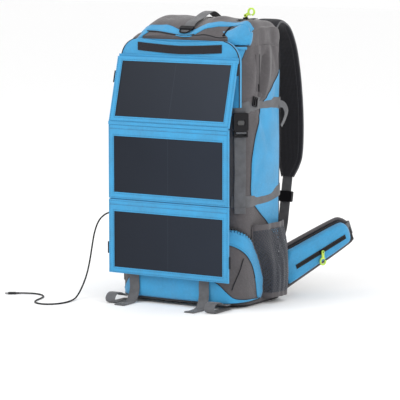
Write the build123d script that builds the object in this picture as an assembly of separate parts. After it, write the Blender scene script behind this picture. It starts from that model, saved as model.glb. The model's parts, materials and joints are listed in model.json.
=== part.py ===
from build123d import *
import math
import os

# Hiking pack that carries a fold-out solar phone charger on its front.
# Millimetres. Origin: middle of the flat base. +Z up, -Y the solar front, +Y the wearer's side.
# Each solid is one physical piece; left and right pieces are mirror images in the YZ plane.

# --- driving dimensions -------------------------------------------------------------------
BAG_HALF_WIDTH = 150.0
BAG_HALF_DEPTH = 85.0
BAG_HEIGHT = 560.0
FRONT_CORNER_R = 40.0
BACK_CORNER_R = 15.0
BASE_EDGE_R = 8.0
WALL = 3.0

WEBBING_WIDTH = 25.0
WEBBING = 1.6  # thickness of every webbing strap
GAP = 0.3  # clearance between pieces that move past each other

PAD_FACE = BAG_HALF_DEPTH + 18.0  # wearer's face of the back pad
LUMBAR_FACE = BAG_HALF_DEPTH + 33.0
PAD_TOP = BAG_HEIGHT

LID_GAP = 3.0
LID_INSET = 7.0  # keeps the lid's swinging front edge behind the stow sleeve
LID_SKIN = 2.5
LID_SHOULDER_R = 42.0
LID_ZIP = (100.0, 14.0)  # (x, y) of the slider on the lid's top

HEADER_HALF_WIDTH = 150.0
HEADER_BOTTOM = 432.0
HEADER_TOP = 580.0
HEADER_CORNER_R = 48.0
HEADER_DEPTH = 12.0
HEADER_SKIN = 1.6

SHEET_HALF_WIDTH = 152.0
SHEET_THICK = 5.0
BACK_CLOTH = 1.0
BOARD_THICK = 2.0
LAMINATE_THICK = 1.2
LAMINATE_WIDTH = 278.0
LAMINATE_HEIGHT = 126.0
WINDOW_LIP = 2.0
FOLD_GAP = 1.0  # from a fold line to the edge of the stiff panel beside it
SHEET_TOP = (-99.5, 532.0)  # (y, z) of the seam that hangs the sheet from the header
TOP_PANEL_LEAN = 15.0  # degrees; the top panel leans back, the others hang plumb
# (section length, cloth above the laminate) of each panel, from the top down
PANELS = ((147.0, 9.0), (165.0, 26.0), (163.0, 25.0))

LOWER_POCKET_HALF_WIDTH = 154.0  # its sides wrap round onto the sides of the bag
LOWER_POCKET_BOTTOM = 12.0
LOWER_POCKET_TOP = 170.0
LOWER_POCKET_R = 105.0  # of the arch, seen from the front
LOWER_POCKET_PLAN_R = 66.0  # of its front corners, seen from above
LOWER_POCKET_FACE = 122.0
LOWER_POCKET_REACH = 4.0  # how far back the side flaps end, in front of y = 0
BAND_WIDTH = 28.0

SIDE_POCKET_TOP = 175.0
SIDE_POCKET_BULGE = 28.0
SIDE_POCKET_Y = (-44.0, 68.0)
MESH = 1.6

BUCKLE_HEIGHT = 400.0  # middle of the side buckles above the base
SHOULDER_X = 85.0
SHOULDER_WIDTH = 62.0
SHOULDER_THICK = 14.0

CHARGER_PORT = (-92.0, -95.0, 190.0)  # mouth of the USB socket, facing -X
CORD_DIAMETER = 3.5
# The phone lead, from the strain relief of its USB plug to its phone plug on the ground.
CORD_ROUTE = [
    (-142.0, -95.0, 190.0), (-163.0, -95.0, 190.0), (-187.0, -97.5, 186.0),
    (-206.0, -101.0, 170.0), (-214.5, -106.0, 144.0), (-217.0, -112.0, 113.0),
    (-218.0, -119.5, 80.0), (-219.0, -131.0, 48.0), (-221.0, -149.0, 20.0),
    (-219.0, -172.0, 3.6), (-213.0, -199.0, 1.9), (-210.0, -228.0, 1.9),
    (-219.0, -254.0, 1.9), (-241.0, -268.0, 1.9), (-266.0, -261.0, 1.9),
    (-281.0, -239.0, 1.9), (-287.0, -211.0, 1.9), (-296.0, -184.0, 1.9),
    (-317.0, -166.0, 1.9), (-344.0, -168.0, 2.9), (-366.0, -182.0, 2.9),
]


SLIDER_HEIGHT = 3.4
PULL_THICK = 3.0
HOOK_R = 9.0
EYE_R = 3.6
POST_R = 1.3
LID_PULL_TILT = math.radians(60)  # rest angle of the lid's pull from upright, towards +X


# --- shared shapes ------------------------------------------------------------------------
def block(x, y, z):
    """A box between two values on each axis."""
    size = [high - low for low, high in (x, y, z)]
    middle = [(high + low) / 2 for low, high in (x, y, z)]
    return Pos(*middle) * Box(*size)


def soft_block(x, y, z, radius, axis):
    """A box whose edges along one axis are rounded."""
    solid = block(x, y, z)
    return fillet(solid.edges().filter_by(axis), radius)


def mirrored(solid):
    return mirror(solid, Plane.YZ)


def both_sides(name, solid):
    """The right-hand piece and its mirror image on the left."""
    return {f"{name}_right": solid, f"{name}_left": mirrored(solid)}


def bag_plan(grow=0.0):
    """Plan outline of the bag, grown evenly outwards; the front corners are the rounder ones."""
    sketch = Rectangle(2 * (BAG_HALF_WIDTH + grow), 2 * (BAG_HALF_DEPTH + grow))
    sketch = fillet(sketch.vertices().group_by(Axis.Y)[0], FRONT_CORNER_R + grow)
    return fillet(sketch.vertices().group_by(Axis.Y)[-1], BACK_CORNER_R + grow)


def bag_prism(grow, low, high):
    return extrude(Pos(0, 0, low) * bag_plan(grow), high - low)


def ribbon(points, radii, thickness, x_middle, width):
    """A strap that follows (y, z) points in a plane of constant x."""
    line = FilletPolyline(*points, radius=radii)
    face = Plane.YZ * trace(line, line_width=thickness)
    return Pos(x_middle, 0, 0) * extrude(face, width / 2, both=True)


def arch(half_width, low, high, radius):
    """Outline, in the XZ plane, of a pocket with two round top corners."""
    sketch = Pos(0, (low + high) / 2) * Rectangle(2 * half_width, high - low)
    return fillet(sketch.vertices().group_by(Axis.Y)[-1], radius)


def arch_prism(half_width, low, high, radius, front, back):
    """The arch between two distances in front of the bag's centre plane."""
    face = Plane.XZ * arch(half_width, low, high, radius)
    return Pos(0, -back, 0) * extrude(face, front - back)


def zip_pull(length):
    """A moulded pull: an eye and a tab that end in an open hook. It hangs along -Y from its eye."""
    tab = length - 2 * HOOK_R + 1
    hook = Circle(HOOK_R) - Circle(HOOK_R - 3.6) - Pos(HOOK_R - 2, 4.5) * Rectangle(5, 4)
    outline = Pos(0, HOOK_R - length) * hook + Pos(0, -tab / 2) * Rectangle(6.4, tab)
    outline += Circle(EYE_R)
    return extrude(outline - Circle(POST_R + GAP), PULL_THICK)


def zip_slider():
    """Slider body that straddles the teeth of a zip running along X."""
    body = soft_block((-4.5, 4.5), (-5, 5), (0, SLIDER_HEIGHT), 2, Axis.Z)
    return body - block((-5, 5), (-2.2, 2.2), (-1, 1))


def post(length):
    """Round post that the eye of a zip pull turns on."""
    return Cylinder(POST_R, length, align=(Align.CENTER, Align.CENTER, Align.MIN))


# --- bag, back pad and frame --------------------------------------------------------------
def main_bag():
    outer = bag_prism(0, 0, BAG_HEIGHT)
    outer = fillet(outer.edges().group_by(Axis.Z)[0], BASE_EDGE_R)
    inner = bag_prism(-WALL, WALL, BAG_HEIGHT)
    inner = fillet(inner.edges().group_by(Axis.Z)[0], BASE_EDGE_R - WALL)
    return outer - inner


def back_pad():
    """Foam pad on the wearer's side, thicker at the lumbar."""
    pad = soft_block((-125, 125), (BAG_HALF_DEPTH, PAD_FACE), (32, PAD_TOP), 24, Axis.Y)
    lumbar = soft_block((-121, 121), (BAG_HALF_DEPTH, LUMBAR_FACE), (36, 172), 20, Axis.Y)
    return pad + lumbar


def frame_parts():
    inside = BAG_HALF_DEPTH - WALL
    sheet = soft_block((-112, 112), (inside - 2, inside), (14, 520), 20, Axis.Y)
    stays = [block((x - 10, x + 10), (inside - 5, inside - 2), (20, 515)) for x in (-70, 70)]
    return {"frame_sheet": sheet, "frame_stays": Compound(children=stays)}


def haul_handle():
    """Grab loop on top of the back pad."""
    points = [(-38, PAD_TOP), (-38, 578), (-14, 597), (14, 597), (38, 578), (38, PAD_TOP)]
    line = FilletPolyline(*points, radius=12)
    face = Plane.XZ * trace(line, line_width=3.0)
    return Pos(0, BAG_HALF_DEPTH + 2, 0) * extrude(face, -14)


# --- lid ----------------------------------------------------------------------------------
LID_LOW = BAG_HEIGHT + LID_GAP
LID_DEPTH = BAG_HALF_DEPTH - LID_INSET  # half of it
LID_FRONT_Z = 580.0
LID_RIDGE = (-40.0, 604.0)  # (y, z) where the front slope meets the top
LID_TOP = 612.0
SLOPE = math.atan2(LID_RIDGE[1] - LID_FRONT_Z, LID_RIDGE[0] + LID_DEPTH)


def lid_solid(shrink=0.0):
    outline = [
        (-LID_DEPTH, LID_LOW), (LID_DEPTH, LID_LOW), (LID_DEPTH, 598), (60, LID_TOP),
        (-14, LID_TOP), LID_RIDGE, (-LID_DEPTH, LID_FRONT_Z),
    ]
    face = make_face(Polyline(*outline, close=True))
    if shrink:
        face = offset(face, -shrink, kind=Kind.INTERSECTION)
    side_view = extrude(Plane.YZ * face, BAG_HALF_WIDTH, both=True)
    front_view = arch_prism(BAG_HALF_WIDTH - LID_INSET - shrink, 0, LID_TOP - shrink,
                            LID_SHOULDER_R - shrink, BAG_HALF_DEPTH, -BAG_HALF_DEPTH)
    return side_view & front_view & bag_prism(-LID_INSET - shrink, LID_LOW, LID_TOP)


def lid_slope_plane(along):
    """Plane on the lid's front slope, a distance along it from the lid's front edge."""
    y = -LID_DEPTH + along * math.cos(SLOPE)
    z = LID_FRONT_Z + along * math.sin(SLOPE)
    return Plane(origin=(0, y, z), x_dir=(1, 0, 0), z_dir=(0, -math.sin(SLOPE), math.cos(SLOPE)))


def lid_parts():
    """Lid shell, the zip and pull on its top, and the strap that hooks over its front."""
    solid = lid_solid()
    x, y = LID_ZIP
    tape = block((x - 6, x + 6), (y - 30, y + 42), (LID_TOP, LID_TOP + 1))
    eye_height = SLIDER_HEIGHT + EYE_R + 2 * GAP
    lug = block((-3, -1), (-3, 3), (SLIDER_HEIGHT - 0.5, eye_height + 2.5))
    pin = Pos(-1.5, 0, eye_height) * Rot(0, 90, 0) * post(PULL_THICK + 1.5)
    seat = Pos(x, y, LID_TOP + 1 + GAP) * Rot(0, 0, -90)
    eye = Plane(origin=(x, y + 1 - GAP - PULL_THICK, LID_TOP + 1 + GAP + eye_height),
                x_dir=(math.cos(LID_PULL_TILT), 0, -math.sin(LID_PULL_TILT)), z_dir=(0, 1, 0))
    strap_points = [
        (60, 613.2), (50, 619), (30, 627), (8, 623), (-13, 614.4), (-41, 606.2), (-72, 585.4),
    ]
    strap = ribbon(strap_points, [8, 14, 14, 14, 14], WEBBING, 0, WEBBING_WIDTH) - solid
    hook = lid_slope_plane(20) * soft_block((-17, 17), (-5, 5), (2.2, 7.2), 2, Axis.Z)
    return {
        "top_lid": solid - lid_solid(LID_SKIN),
        "lid_zip_tape": tape,
        "lid_zip_slider": seat * (zip_slider() + lug + pin),
        "lid_zip_pull": eye * zip_pull(26),
        "lid_strap": strap,
        "lid_strap_hook": hook - strap,
    }


# --- front pockets ------------------------------------------------------------------------
def header_pocket():
    """Flat sleeve with round shoulders that the folded charger stows into; open at the top."""
    back, front = BAG_HALF_DEPTH, BAG_HALF_DEPTH + HEADER_DEPTH
    outer = arch_prism(HEADER_HALF_WIDTH, HEADER_BOTTOM, HEADER_TOP, HEADER_CORNER_R, front, back)
    inner = arch_prism(HEADER_HALF_WIDTH - 6, HEADER_BOTTOM + 6, HEADER_TOP - 6,
                       HEADER_CORNER_R - 6, front - HEADER_SKIN, back + HEADER_SKIN)
    mouth = block((-104, 104), (-front + HEADER_SKIN, -back - HEADER_SKIN),
                  (HEADER_TOP - 30, HEADER_TOP + 1))
    return outer - inner - mouth


def header_parts():
    front = BAG_HALF_DEPTH + HEADER_DEPTH
    strip = block((-104, 108), (-front - 1.4, -front), (546, 564))
    return {"stow_sleeve": header_pocket(), "hook_and_loop_strip": strip}


def lower_pocket_solid(grow):
    """Arch seen from the front, with round corners seen from above; it wraps round the bag."""
    half, face = LOWER_POCKET_HALF_WIDTH + grow, LOWER_POCKET_FACE + grow
    front_view = arch_prism(half, LOWER_POCKET_BOTTOM - grow, LOWER_POCKET_TOP + grow,
                            LOWER_POCKET_R + grow, face, LOWER_POCKET_REACH)
    plan = Pos(0, -face / 2) * Rectangle(2 * half, face)
    plan = fillet(plan.vertices().group_by(Axis.Y)[0], LOWER_POCKET_PLAN_R + grow)
    return front_view & extrude(plan, LOWER_POCKET_TOP + grow)


def lower_pocket_parts():
    """Arched pouch low on the front, with a broad contrast band around its arch."""
    outer = lower_pocket_solid(0)
    inner = lower_pocket_solid(-2.5) - bag_prism(3, 0, BAG_HEIGHT)
    shell = lower_pocket_solid(WEBBING) & arch_prism(
        LOWER_POCKET_HALF_WIDTH + WEBBING, LOWER_POCKET_BOTTOM, LOWER_POCKET_TOP,
        LOWER_POCKET_R, LOWER_POCKET_FACE + WEBBING, LOWER_POCKET_REACH)
    middle = arch_prism(LOWER_POCKET_HALF_WIDTH - BAND_WIDTH, 0, LOWER_POCKET_TOP - BAND_WIDTH,
                        LOWER_POCKET_R - BAND_WIDTH, LOWER_POCKET_FACE + BAND_WIDTH, 0)
    band = shell - outer - middle - bag_prism(0, 0, BAG_HEIGHT)
    return {"lower_pocket": outer - inner - bag_prism(0, 0, BAG_HEIGHT), "lower_pocket_band": band}


def side_pocket():
    """Mesh bottle pocket: front, back, outer and bottom walls around a space that is open on top."""
    low, (front, back) = 15.0, SIDE_POCKET_Y
    inside = (BAG_HALF_WIDTH, BAG_HALF_WIDTH + SIDE_POCKET_BULGE - MESH)
    outer = block((BAG_HALF_WIDTH, inside[1] + MESH), (front, back), (low, SIDE_POCKET_TOP))
    outer = fillet(outer.edges().filter_by(Axis.Z).group_by(Axis.X)[-1], 18)
    inner = block(inside, (front + MESH, back - MESH), (low + MESH, SIDE_POCKET_TOP + 1))
    pocket = outer - fillet(inner.edges().filter_by(Axis.Z).group_by(Axis.X)[-1], 18 - MESH)
    return pocket - lower_pocket_solid(WEBBING + GAP)


# --- straps and side buckles --------------------------------------------------------------
def side_band(low):
    """Webbing that hugs the bag's side from its front corner to its back corner."""
    ring = bag_prism(WEBBING, low, low + WEBBING_WIDTH) - bag_prism(0, low, low + WEBBING_WIDTH)
    return ring & block((120, 160), (-68, 68), (low, low + WEBBING_WIDTH))


CORNER = Plane(
    origin=(BAG_HALF_WIDTH - FRONT_CORNER_R * (1 - math.sqrt(0.5)),
            -BAG_HALF_DEPTH + FRONT_CORNER_R * (1 - math.sqrt(0.5)), BUCKLE_HEIGHT),
    x_dir=(1, 1, 0), z_dir=(1, -1, 0))
BUCKLE_TRAVEL = 30.0


def side_buckle_parts():
    """Side-release buckle on each front corner: socket above, plug and its webbing tail below."""
    half = WEBBING_WIDTH / 2
    anchor = CORNER * block((-half, half), (-10, 26), (0.1, 2.2))
    shell = soft_block((-16, 16), (-18, 20), (2.2, 13.2), 3, Axis.Z)
    shell -= block((-12, 12), (-19, 9), (5, 11))
    shell -= block((-9, 9), (-6, 4), (10, 14))
    plug = soft_block((-15, 15), (-32, -18 - GAP), (4, 12), 2.5, Axis.Z)
    plug -= block((-12, 12), (-29, -26), (3, 13))
    for x in (-9, 0, 9):
        plug += block((x - 2, x + 2), (-19, 5), (5.6, 10.4))
    tail = block((-half, half), (-196, -20), (4 - WEBBING, 4))
    parts = {"anchor": anchor}
    parts |= both_sides("side_buckle_socket", CORNER * shell)
    parts |= both_sides("side_buckle_plug", CORNER * plug)
    parts |= both_sides("side_strap_tail", CORNER * tail)
    return parts


def base_straps():
    """Two lashing tails down the lower pocket and two loops, all ending on the ground."""
    front = -LOWER_POCKET_FACE - WEBBING - WEBBING / 2 - 0.1
    tail = [(front, 112), (front, 34), (front - 7, 10), (-150, 1.2), (-188, 1.2)]
    loop = [(-104, 10.8), (-126, 10.8), (-148, 23), (-172, 18), (-172, 3), (-148, 1.2), (-104, 1.2)]
    pieces = [ribbon(tail, [40, 16, 16], WEBBING, x, WEBBING_WIDTH) for x in (-96, 82)]
    pieces += [ribbon(loop, [14, 9, 4, 4, 9], WEBBING, x, WEBBING_WIDTH) for x in (-128, 124)]
    return Compound(children=pieces)


# --- shoulder straps ----------------------------------------------------------------------
STRAP_TIP = (224.0, 248.0)
WEB_RUN_END = (206.0, 156.0)
RUN_ANGLE = math.atan2(STRAP_TIP[0] - WEB_RUN_END[0], STRAP_TIP[1] - WEB_RUN_END[1])


def shoulder_strap():
    middle = PAD_FACE + SHOULDER_THICK / 2
    points = [(middle, 500), (middle, 572), (140, 603), (180, 588), (214, 530), (235, 430),
              (240, 330), STRAP_TIP]
    radii = [22, 20, 40, 120, 160, 160]
    strap = ribbon(points, radii, SHOULDER_THICK, SHOULDER_X, SHOULDER_WIDTH)
    return strap


def shoulder_webbing():
    points = [STRAP_TIP, WEB_RUN_END, (178, 104), (110, 84)]
    web = ribbon(points, [60, 50], WEBBING, SHOULDER_X, WEBBING_WIDTH)
    return web - back_pad()


def strap_adjuster():
    """Ladder-lock buckle that slides on the straight run of the shoulder webbing."""
    down = 42.0
    y = STRAP_TIP[0] - down * math.sin(RUN_ANGLE)
    z = STRAP_TIP[1] - down * math.cos(RUN_ANGLE)
    frame = Plane(origin=(SHOULDER_X, y, z), x_dir=(1, 0, 0),
                  z_dir=(0, math.cos(RUN_ANGLE), -math.sin(RUN_ANGLE)))
    body = soft_block((-17, 17), (-12, 12), (-4, 4), 3, Axis.Z)
    slot = block((-WEBBING_WIDTH / 2 - 0.5, WEBBING_WIDTH / 2 + 0.5), (-13, 13),
                 (-WEBBING / 2 - GAP, WEBBING / 2 + GAP))
    window = block((-11, 11), (-4, 4), (0, 5))
    return frame * (body - slot - window)


# --- hip belt -----------------------------------------------------------------------------
FIN_ROOT = Vector(125, 112, 52)
FIN_TIP = Vector(198, 300, 132)
FIN_LENGTH = (FIN_TIP - FIN_ROOT).length
FIN_ALONG = (FIN_TIP - FIN_ROOT).normalized()
FIN_OUT = FIN_ALONG.cross(Vector(0, 0, 1)).normalized()
FIN = Plane(origin=FIN_ROOT, x_dir=FIN_ALONG, z_dir=FIN_OUT)
FIN_HALF_THICK = 7.0
HIP_POCKET_FACE = 23.0
HIP_SLIDER_AT = 112.0


def hip_parts():
    """One padded wing of the hip belt with its zipped pocket, belt webbing and zip pull."""
    outline = Polyline((-6, -44), (FIN_LENGTH, -30), (FIN_LENGTH + 6, 16),
                       (FIN_LENGTH - 22, 36), (30, 46), close=True)
    wing = fillet(make_face(outline).vertices(), 9)
    wing = extrude(wing, FIN_HALF_THICK, both=True)
    pouch = soft_block((28, 196), (-30, 26), (FIN_HALF_THICK, HIP_POCKET_FACE), 16, Axis.Z)
    pouch = fillet(pouch.faces().sort_by(Axis.Z)[-1].edges(), 6)
    tape = block((36, 188), (-8, 2), (HIP_POCKET_FACE, HIP_POCKET_FACE + 1))
    slider = zip_slider() + Pos(0, 0, SLIDER_HEIGHT) * post(PULL_THICK + 1)
    slider = Pos(HIP_SLIDER_AT, -3, HIP_POCKET_FACE + 1 + GAP) * slider
    webbing = block((58, FIN_LENGTH - 10), (-38, -38 + WEBBING_WIDTH),
                    (-FIN_HALF_THICK - WEBBING, -FIN_HALF_THICK))
    parts = {}
    parts |= both_sides("hip_wing", FIN * wing)
    parts |= both_sides("hip_pocket", FIN * pouch)
    parts |= both_sides("hip_zip_tape", FIN * tape)
    parts |= both_sides("hip_zip_slider", FIN * slider)
    parts |= both_sides("hip_webbing", FIN * webbing)
    pivot = FIN.from_local_coords(Vector(HIP_SLIDER_AT, -3, HIP_POCKET_FACE + 5.2))
    plumb = Plane(origin=pivot, x_dir=Vector(0, 0, 1).cross(FIN_OUT), z_dir=FIN_OUT)
    parts |= both_sides("hip_zip_pull", plumb * zip_pull(30))
    parts |= {"hip_buckle_plug": FIN * hip_buckle_plug(),
              "hip_buckle_socket": mirrored(FIN * hip_buckle_socket())}
    return parts


def hip_buckle_plug():
    back = -FIN_HALF_THICK - WEBBING
    body = soft_block((34, 58), (-42, -9), (back - 9, back), 3, Axis.Z)
    body -= block((50, 54), (-39, -12), (back - 10, back + 1))
    for y in (-36, -25.5, -15):
        body += block((16, 35), (y - 2.2, y + 2.2), (back - 7, back - 2))
    return body


def hip_buckle_socket():
    back = -FIN_HALF_THICK - WEBBING
    body = soft_block((16, 58), (-44, -7), (back - 12, back), 4, Axis.Z)
    body -= block((15, 44), (-40, -11), (back - 9.5, back - 2.5))
    body -= block((21, 39), (-34, -17), (back - 13, back - 9))
    return body - block((49, 54), (-39, -12), (back - 13, back + 1))


# --- solar charger ------------------------------------------------------------------------
FOLD_1 = (SHEET_TOP[0] - PANELS[0][0] * math.sin(math.radians(TOP_PANEL_LEAN)),
          SHEET_TOP[1] - PANELS[0][0] * math.cos(math.radians(TOP_PANEL_LEAN)))
FOLD_2 = (FOLD_1[0], FOLD_1[1] - PANELS[1][0])
PANEL_FRAMES = [
    Pos(0, *SHEET_TOP) * Rot(-TOP_PANEL_LEAN, 0, 0), Pos(0, *FOLD_1), Pos(0, *FOLD_2),
]


def solar_panel(index):
    """One panel of the sheet: cloth cover, stiffener board, and a laminate behind a window."""
    length, border = PANELS[index]
    frame = PANEL_FRAMES[index]
    board_face = -BACK_CLOTH - BOARD_THICK
    laminate_face = board_face - LAMINATE_THICK
    half = LAMINATE_WIDTH / 2
    top, bottom = -border, -border - LAMINATE_HEIGHT
    board = block((-half, half), (board_face, -BACK_CLOTH), (bottom, top))
    laminate = block((-half, half), (laminate_face, board_face), (bottom, top))
    window = block((-half + WINDOW_LIP, half - WINDOW_LIP), (-SHEET_THICK - 1, laminate_face),
                   (bottom + WINDOW_LIP, top - WINDOW_LIP))
    cover = block((-SHEET_HALF_WIDTH, SHEET_HALF_WIDTH), (-SHEET_THICK, 0),
                  (-length + FOLD_GAP, -FOLD_GAP))
    cover -= board + laminate + window
    number = index + 1
    return {
        f"solar_cover_{number}": frame * cover,
        f"solar_board_{number}": frame * board,
        f"solar_laminate_{number}": frame * laminate,
    }


def charger_parts():
    """Regulator box on the bag's front, behind the sheet, with its USB socket facing sideways."""
    x, y, z = CHARGER_PORT
    case = soft_block((x, x + 62), (y - 10, -BAG_HALF_DEPTH), (z - 17, z + 17), 5, Axis.Y)
    case -= block((x + 2, x + 60), (y - 8, y + 8), (z - 15, z + 15))
    socket_outer = block((x, x + 14), (y - 3.5, y + 3.5), (z - 7.2, z + 7.2))
    socket = socket_outer - block((x - 1, x + 13), (y - 2.5, y + 2.5), (z - 6.3, z + 6.3))
    board = block((x + 14, x + 60), (y - 0.8, y + 0.8), (z - 15, z + 15))
    return {"charger_case": case - socket_outer, "usb_socket": socket, "charger_board": board}


def cord_radii(route):
    """Corner radii of the cord's route: 0.45 of the shorter run over the tangent of half the turn."""
    radii = []
    for before, here, after in zip(route, route[1:], route[2:]):
        run_in = Vector(*here) - Vector(*before)
        run_out = Vector(*after) - Vector(*here)
        half_turn = math.radians(run_in.get_angle(run_out) / 2)
        radii.append(0.45 * min(run_in.length, run_out.length) / math.tan(half_turn))
    return radii


def lead_parts():
    """Phone lead: USB plug and strain relief, round cord, and the small plug for the phone."""
    x, y, z = CHARGER_PORT
    plug = soft_block((x - 34, x - GAP), (y - 4, y + 4), (z - 8, z + 8), 2, Axis.X)
    plug += block((x - 1, x + 11), (y - 2.25, y + 2.25), (z - 6, z + 6))
    relief = Cone(3.6, CORD_DIAMETER / 2, 16, align=(Align.CENTER, Align.CENTER, Align.MIN))
    plug += Pos(x - 34, y, z) * Rot(0, -90, 0) * relief
    radii = cord_radii(CORD_ROUTE)
    path = FilletPolyline(*CORD_ROUTE, radius=radii)
    start = Plane(origin=CORD_ROUTE[0], z_dir=path % 0)
    cord = sweep(start * Circle(CORD_DIAMETER / 2), path=path)
    expected = path.length * math.pi * CORD_DIAMETER**2 / 4
    print(f"cord length {path.length:.1f} mm, volume over section times length "
          f"{cord.volume / expected:.4f}, radii {[round(r) for r in radii]}")
    heading = path % 1
    end = Plane(origin=CORD_ROUTE[-1], x_dir=heading, z_dir=(0, 0, 1))
    phone_plug = soft_block((0, 7), (-2.2, 2.2), (-1.9, 1.9), 0.8, Axis.X)
    phone_plug += soft_block((7, 24), (-4.4, 4.4), (-2.6, 2.6), 2.2, Axis.X)
    phone_plug += block((24, 31), (-3.3, 3.3), (-0.8, 0.8))
    return {"lead_usb_plug": plug, "lead_cord": cord, "lead_phone_plug": end * phone_plug}


# --- assembly -----------------------------------------------------------------------------
def all_parts():
    parts = {"main_bag": main_bag(), "back_pad": back_pad(), "haul_handle": haul_handle()}
    parts |= frame_parts()
    parts |= lid_parts()
    parts |= header_parts()
    parts |= lower_pocket_parts()
    parts |= both_sides("mesh_pocket", side_pocket())
    parts |= side_buckle_parts()
    bands = [side_band(low) for low in (218, 418)] + [parts.pop("anchor")]
    parts["compression_straps"] = Compound(children=bands + [mirrored(b) for b in bands])
    parts["base_straps"] = base_straps()
    parts |= both_sides("shoulder_strap", shoulder_strap())
    parts |= both_sides("shoulder_webbing", shoulder_webbing())
    parts |= both_sides("strap_adjuster", strap_adjuster())
    parts |= hip_parts()
    for index in range(len(PANELS)):
        parts |= solar_panel(index)
    parts |= charger_parts()
    parts |= lead_parts()
    return parts


os.makedirs("parts", exist_ok=True)
for name, solid in all_parts().items():
    export_step(solid, f"parts/{name}.step")
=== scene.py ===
import json
import math

import bmesh
import bpy
from mathutils import Matrix, Vector, noise


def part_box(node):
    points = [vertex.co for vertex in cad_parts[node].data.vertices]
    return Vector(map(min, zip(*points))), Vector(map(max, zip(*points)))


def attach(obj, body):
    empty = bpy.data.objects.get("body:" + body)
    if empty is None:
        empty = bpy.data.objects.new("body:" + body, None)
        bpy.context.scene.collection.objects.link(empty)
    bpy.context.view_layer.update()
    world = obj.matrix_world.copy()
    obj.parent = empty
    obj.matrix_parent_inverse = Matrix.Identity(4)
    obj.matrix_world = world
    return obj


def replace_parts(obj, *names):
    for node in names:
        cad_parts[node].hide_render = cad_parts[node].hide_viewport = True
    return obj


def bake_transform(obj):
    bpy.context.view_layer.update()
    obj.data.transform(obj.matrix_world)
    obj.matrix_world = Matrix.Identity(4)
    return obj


# Looks of the solar-charging hiking pack. Lengths in the code are millimetres until a mesh is made.
MM = 0.001
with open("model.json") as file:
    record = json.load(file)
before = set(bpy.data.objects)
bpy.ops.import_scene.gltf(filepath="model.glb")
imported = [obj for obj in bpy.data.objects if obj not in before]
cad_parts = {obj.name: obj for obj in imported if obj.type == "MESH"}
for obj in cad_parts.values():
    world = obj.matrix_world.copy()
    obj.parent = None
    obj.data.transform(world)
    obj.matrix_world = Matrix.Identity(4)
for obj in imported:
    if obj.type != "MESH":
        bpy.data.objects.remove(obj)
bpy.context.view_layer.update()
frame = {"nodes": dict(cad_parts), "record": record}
NODES = frame["nodes"]


def box_mm(node):
    low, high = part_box(node)
    return low / MM, high / MM


BAG_HIGH = box_mm("main_bag")[1]
HALF_WIDTH = BAG_HIGH.x
HALF_DEPTH = BAG_HIGH.y
BAG_TOP = BAG_HIGH.z
FRONT_R = 40.0  # plan radius of the bag's front corners
BACK_R = 15.0
WALL = 3.0
WEBBING = 1.6  # thickness of every strap
SIDES = (("right", 1), ("left", -1))
ACROSS, REARWARD, UP = Vector((1, 0, 0)), Vector((0, 1, 0)), Vector((0, 0, 1))


# --- camera, floor and light --------------------------------------------------------------
AZIMUTH, ELEVATION = math.radians(32), math.radians(7.3)
VIEW_RIGHT = Vector((math.cos(AZIMUTH), math.sin(AZIMUTH), 0))
VIEW_BACK = Vector((math.sin(AZIMUTH) * math.cos(ELEVATION),
                    -math.cos(AZIMUTH) * math.cos(ELEVATION), math.sin(ELEVATION)))
VIEW_UP = VIEW_BACK.cross(VIEW_RIGHT)
FRAME_WIDTH = 0.88  # metres across the picture at the object
CAMERA_DISTANCE = 5.25
AIM = -0.00594 * VIEW_RIGHT + 0.2140 * VIEW_UP  # the place in the middle of the picture
FLOOR_HALF = 12


def make_camera():
    camera = bpy.data.objects.new("camera", bpy.data.cameras.new("camera"))
    camera.data.lens = camera.data.sensor_width * CAMERA_DISTANCE / FRAME_WIDTH
    camera.location = AIM + VIEW_BACK * CAMERA_DISTANCE
    camera.rotation_euler = VIEW_BACK.to_track_quat("Z", "Y").to_euler()
    bpy.context.scene.collection.objects.link(camera)
    bpy.context.scene.camera = camera


def area_light(name, place, watts, size):
    light = bpy.data.objects.new(name, bpy.data.lights.new(name, "AREA"))
    light.data.energy = watts
    light.data.size = size
    light.location = place
    aim = Vector((0, 0, 0.3)) - light.location
    light.rotation_euler = aim.to_track_quat("-Z", "Y").to_euler()
    bpy.context.scene.collection.objects.link(light)


def make_studio():
    scene = bpy.context.scene
    scene.view_settings.view_transform = "Standard"
    world = bpy.data.worlds.new("studio")
    scene.world = world
    world.use_nodes = True
    background = world.node_tree.nodes["Background"]
    background.inputs["Color"].default_value = (1, 1, 1, 1)
    background.inputs["Strength"].default_value = 1.0
    area_light("key_light", (-1.2, -2.6, 2.4), 38, 1.5)
    area_light("side_light", (2.8, -0.8, 1.6), 20, 1.6)
    area_light("back_light", (0.6, 2.6, 2.2), 8, 1.6)
    mesh = bpy.data.meshes.new("floor")
    corners = ((-1, -1), (1, -1), (1, 1), (-1, 1))
    mesh.from_pydata([(x * FLOOR_HALF, y * FLOOR_HALF, 0) for x, y in corners], [], [(0, 1, 2, 3)])
    floor = bpy.data.objects.new("floor", mesh)
    scene.collection.objects.link(floor)
    white = Finish("floor", (253, 253, 253), 0.9)
    white.shader.inputs["Base Color"].default_value = (0.98, 0.98, 0.98, 1)
    mesh.materials.append(white.material)


# --- materials ----------------------------------------------------------------------------
ALBEDO = 0.8  # the lights and the white surroundings add up to more than full light


def linear(rgb, share=1.0):
    """Linear colour of an sRGB triple, 0 to 255."""
    def one(value):
        value = min(value * share, 255) / 255
        return value / 12.92 if value <= 0.04045 else ((value + 0.055) / 1.055) ** 2.4
    return tuple(ALBEDO * one(value) for value in rgb) + (1.0,)


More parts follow.
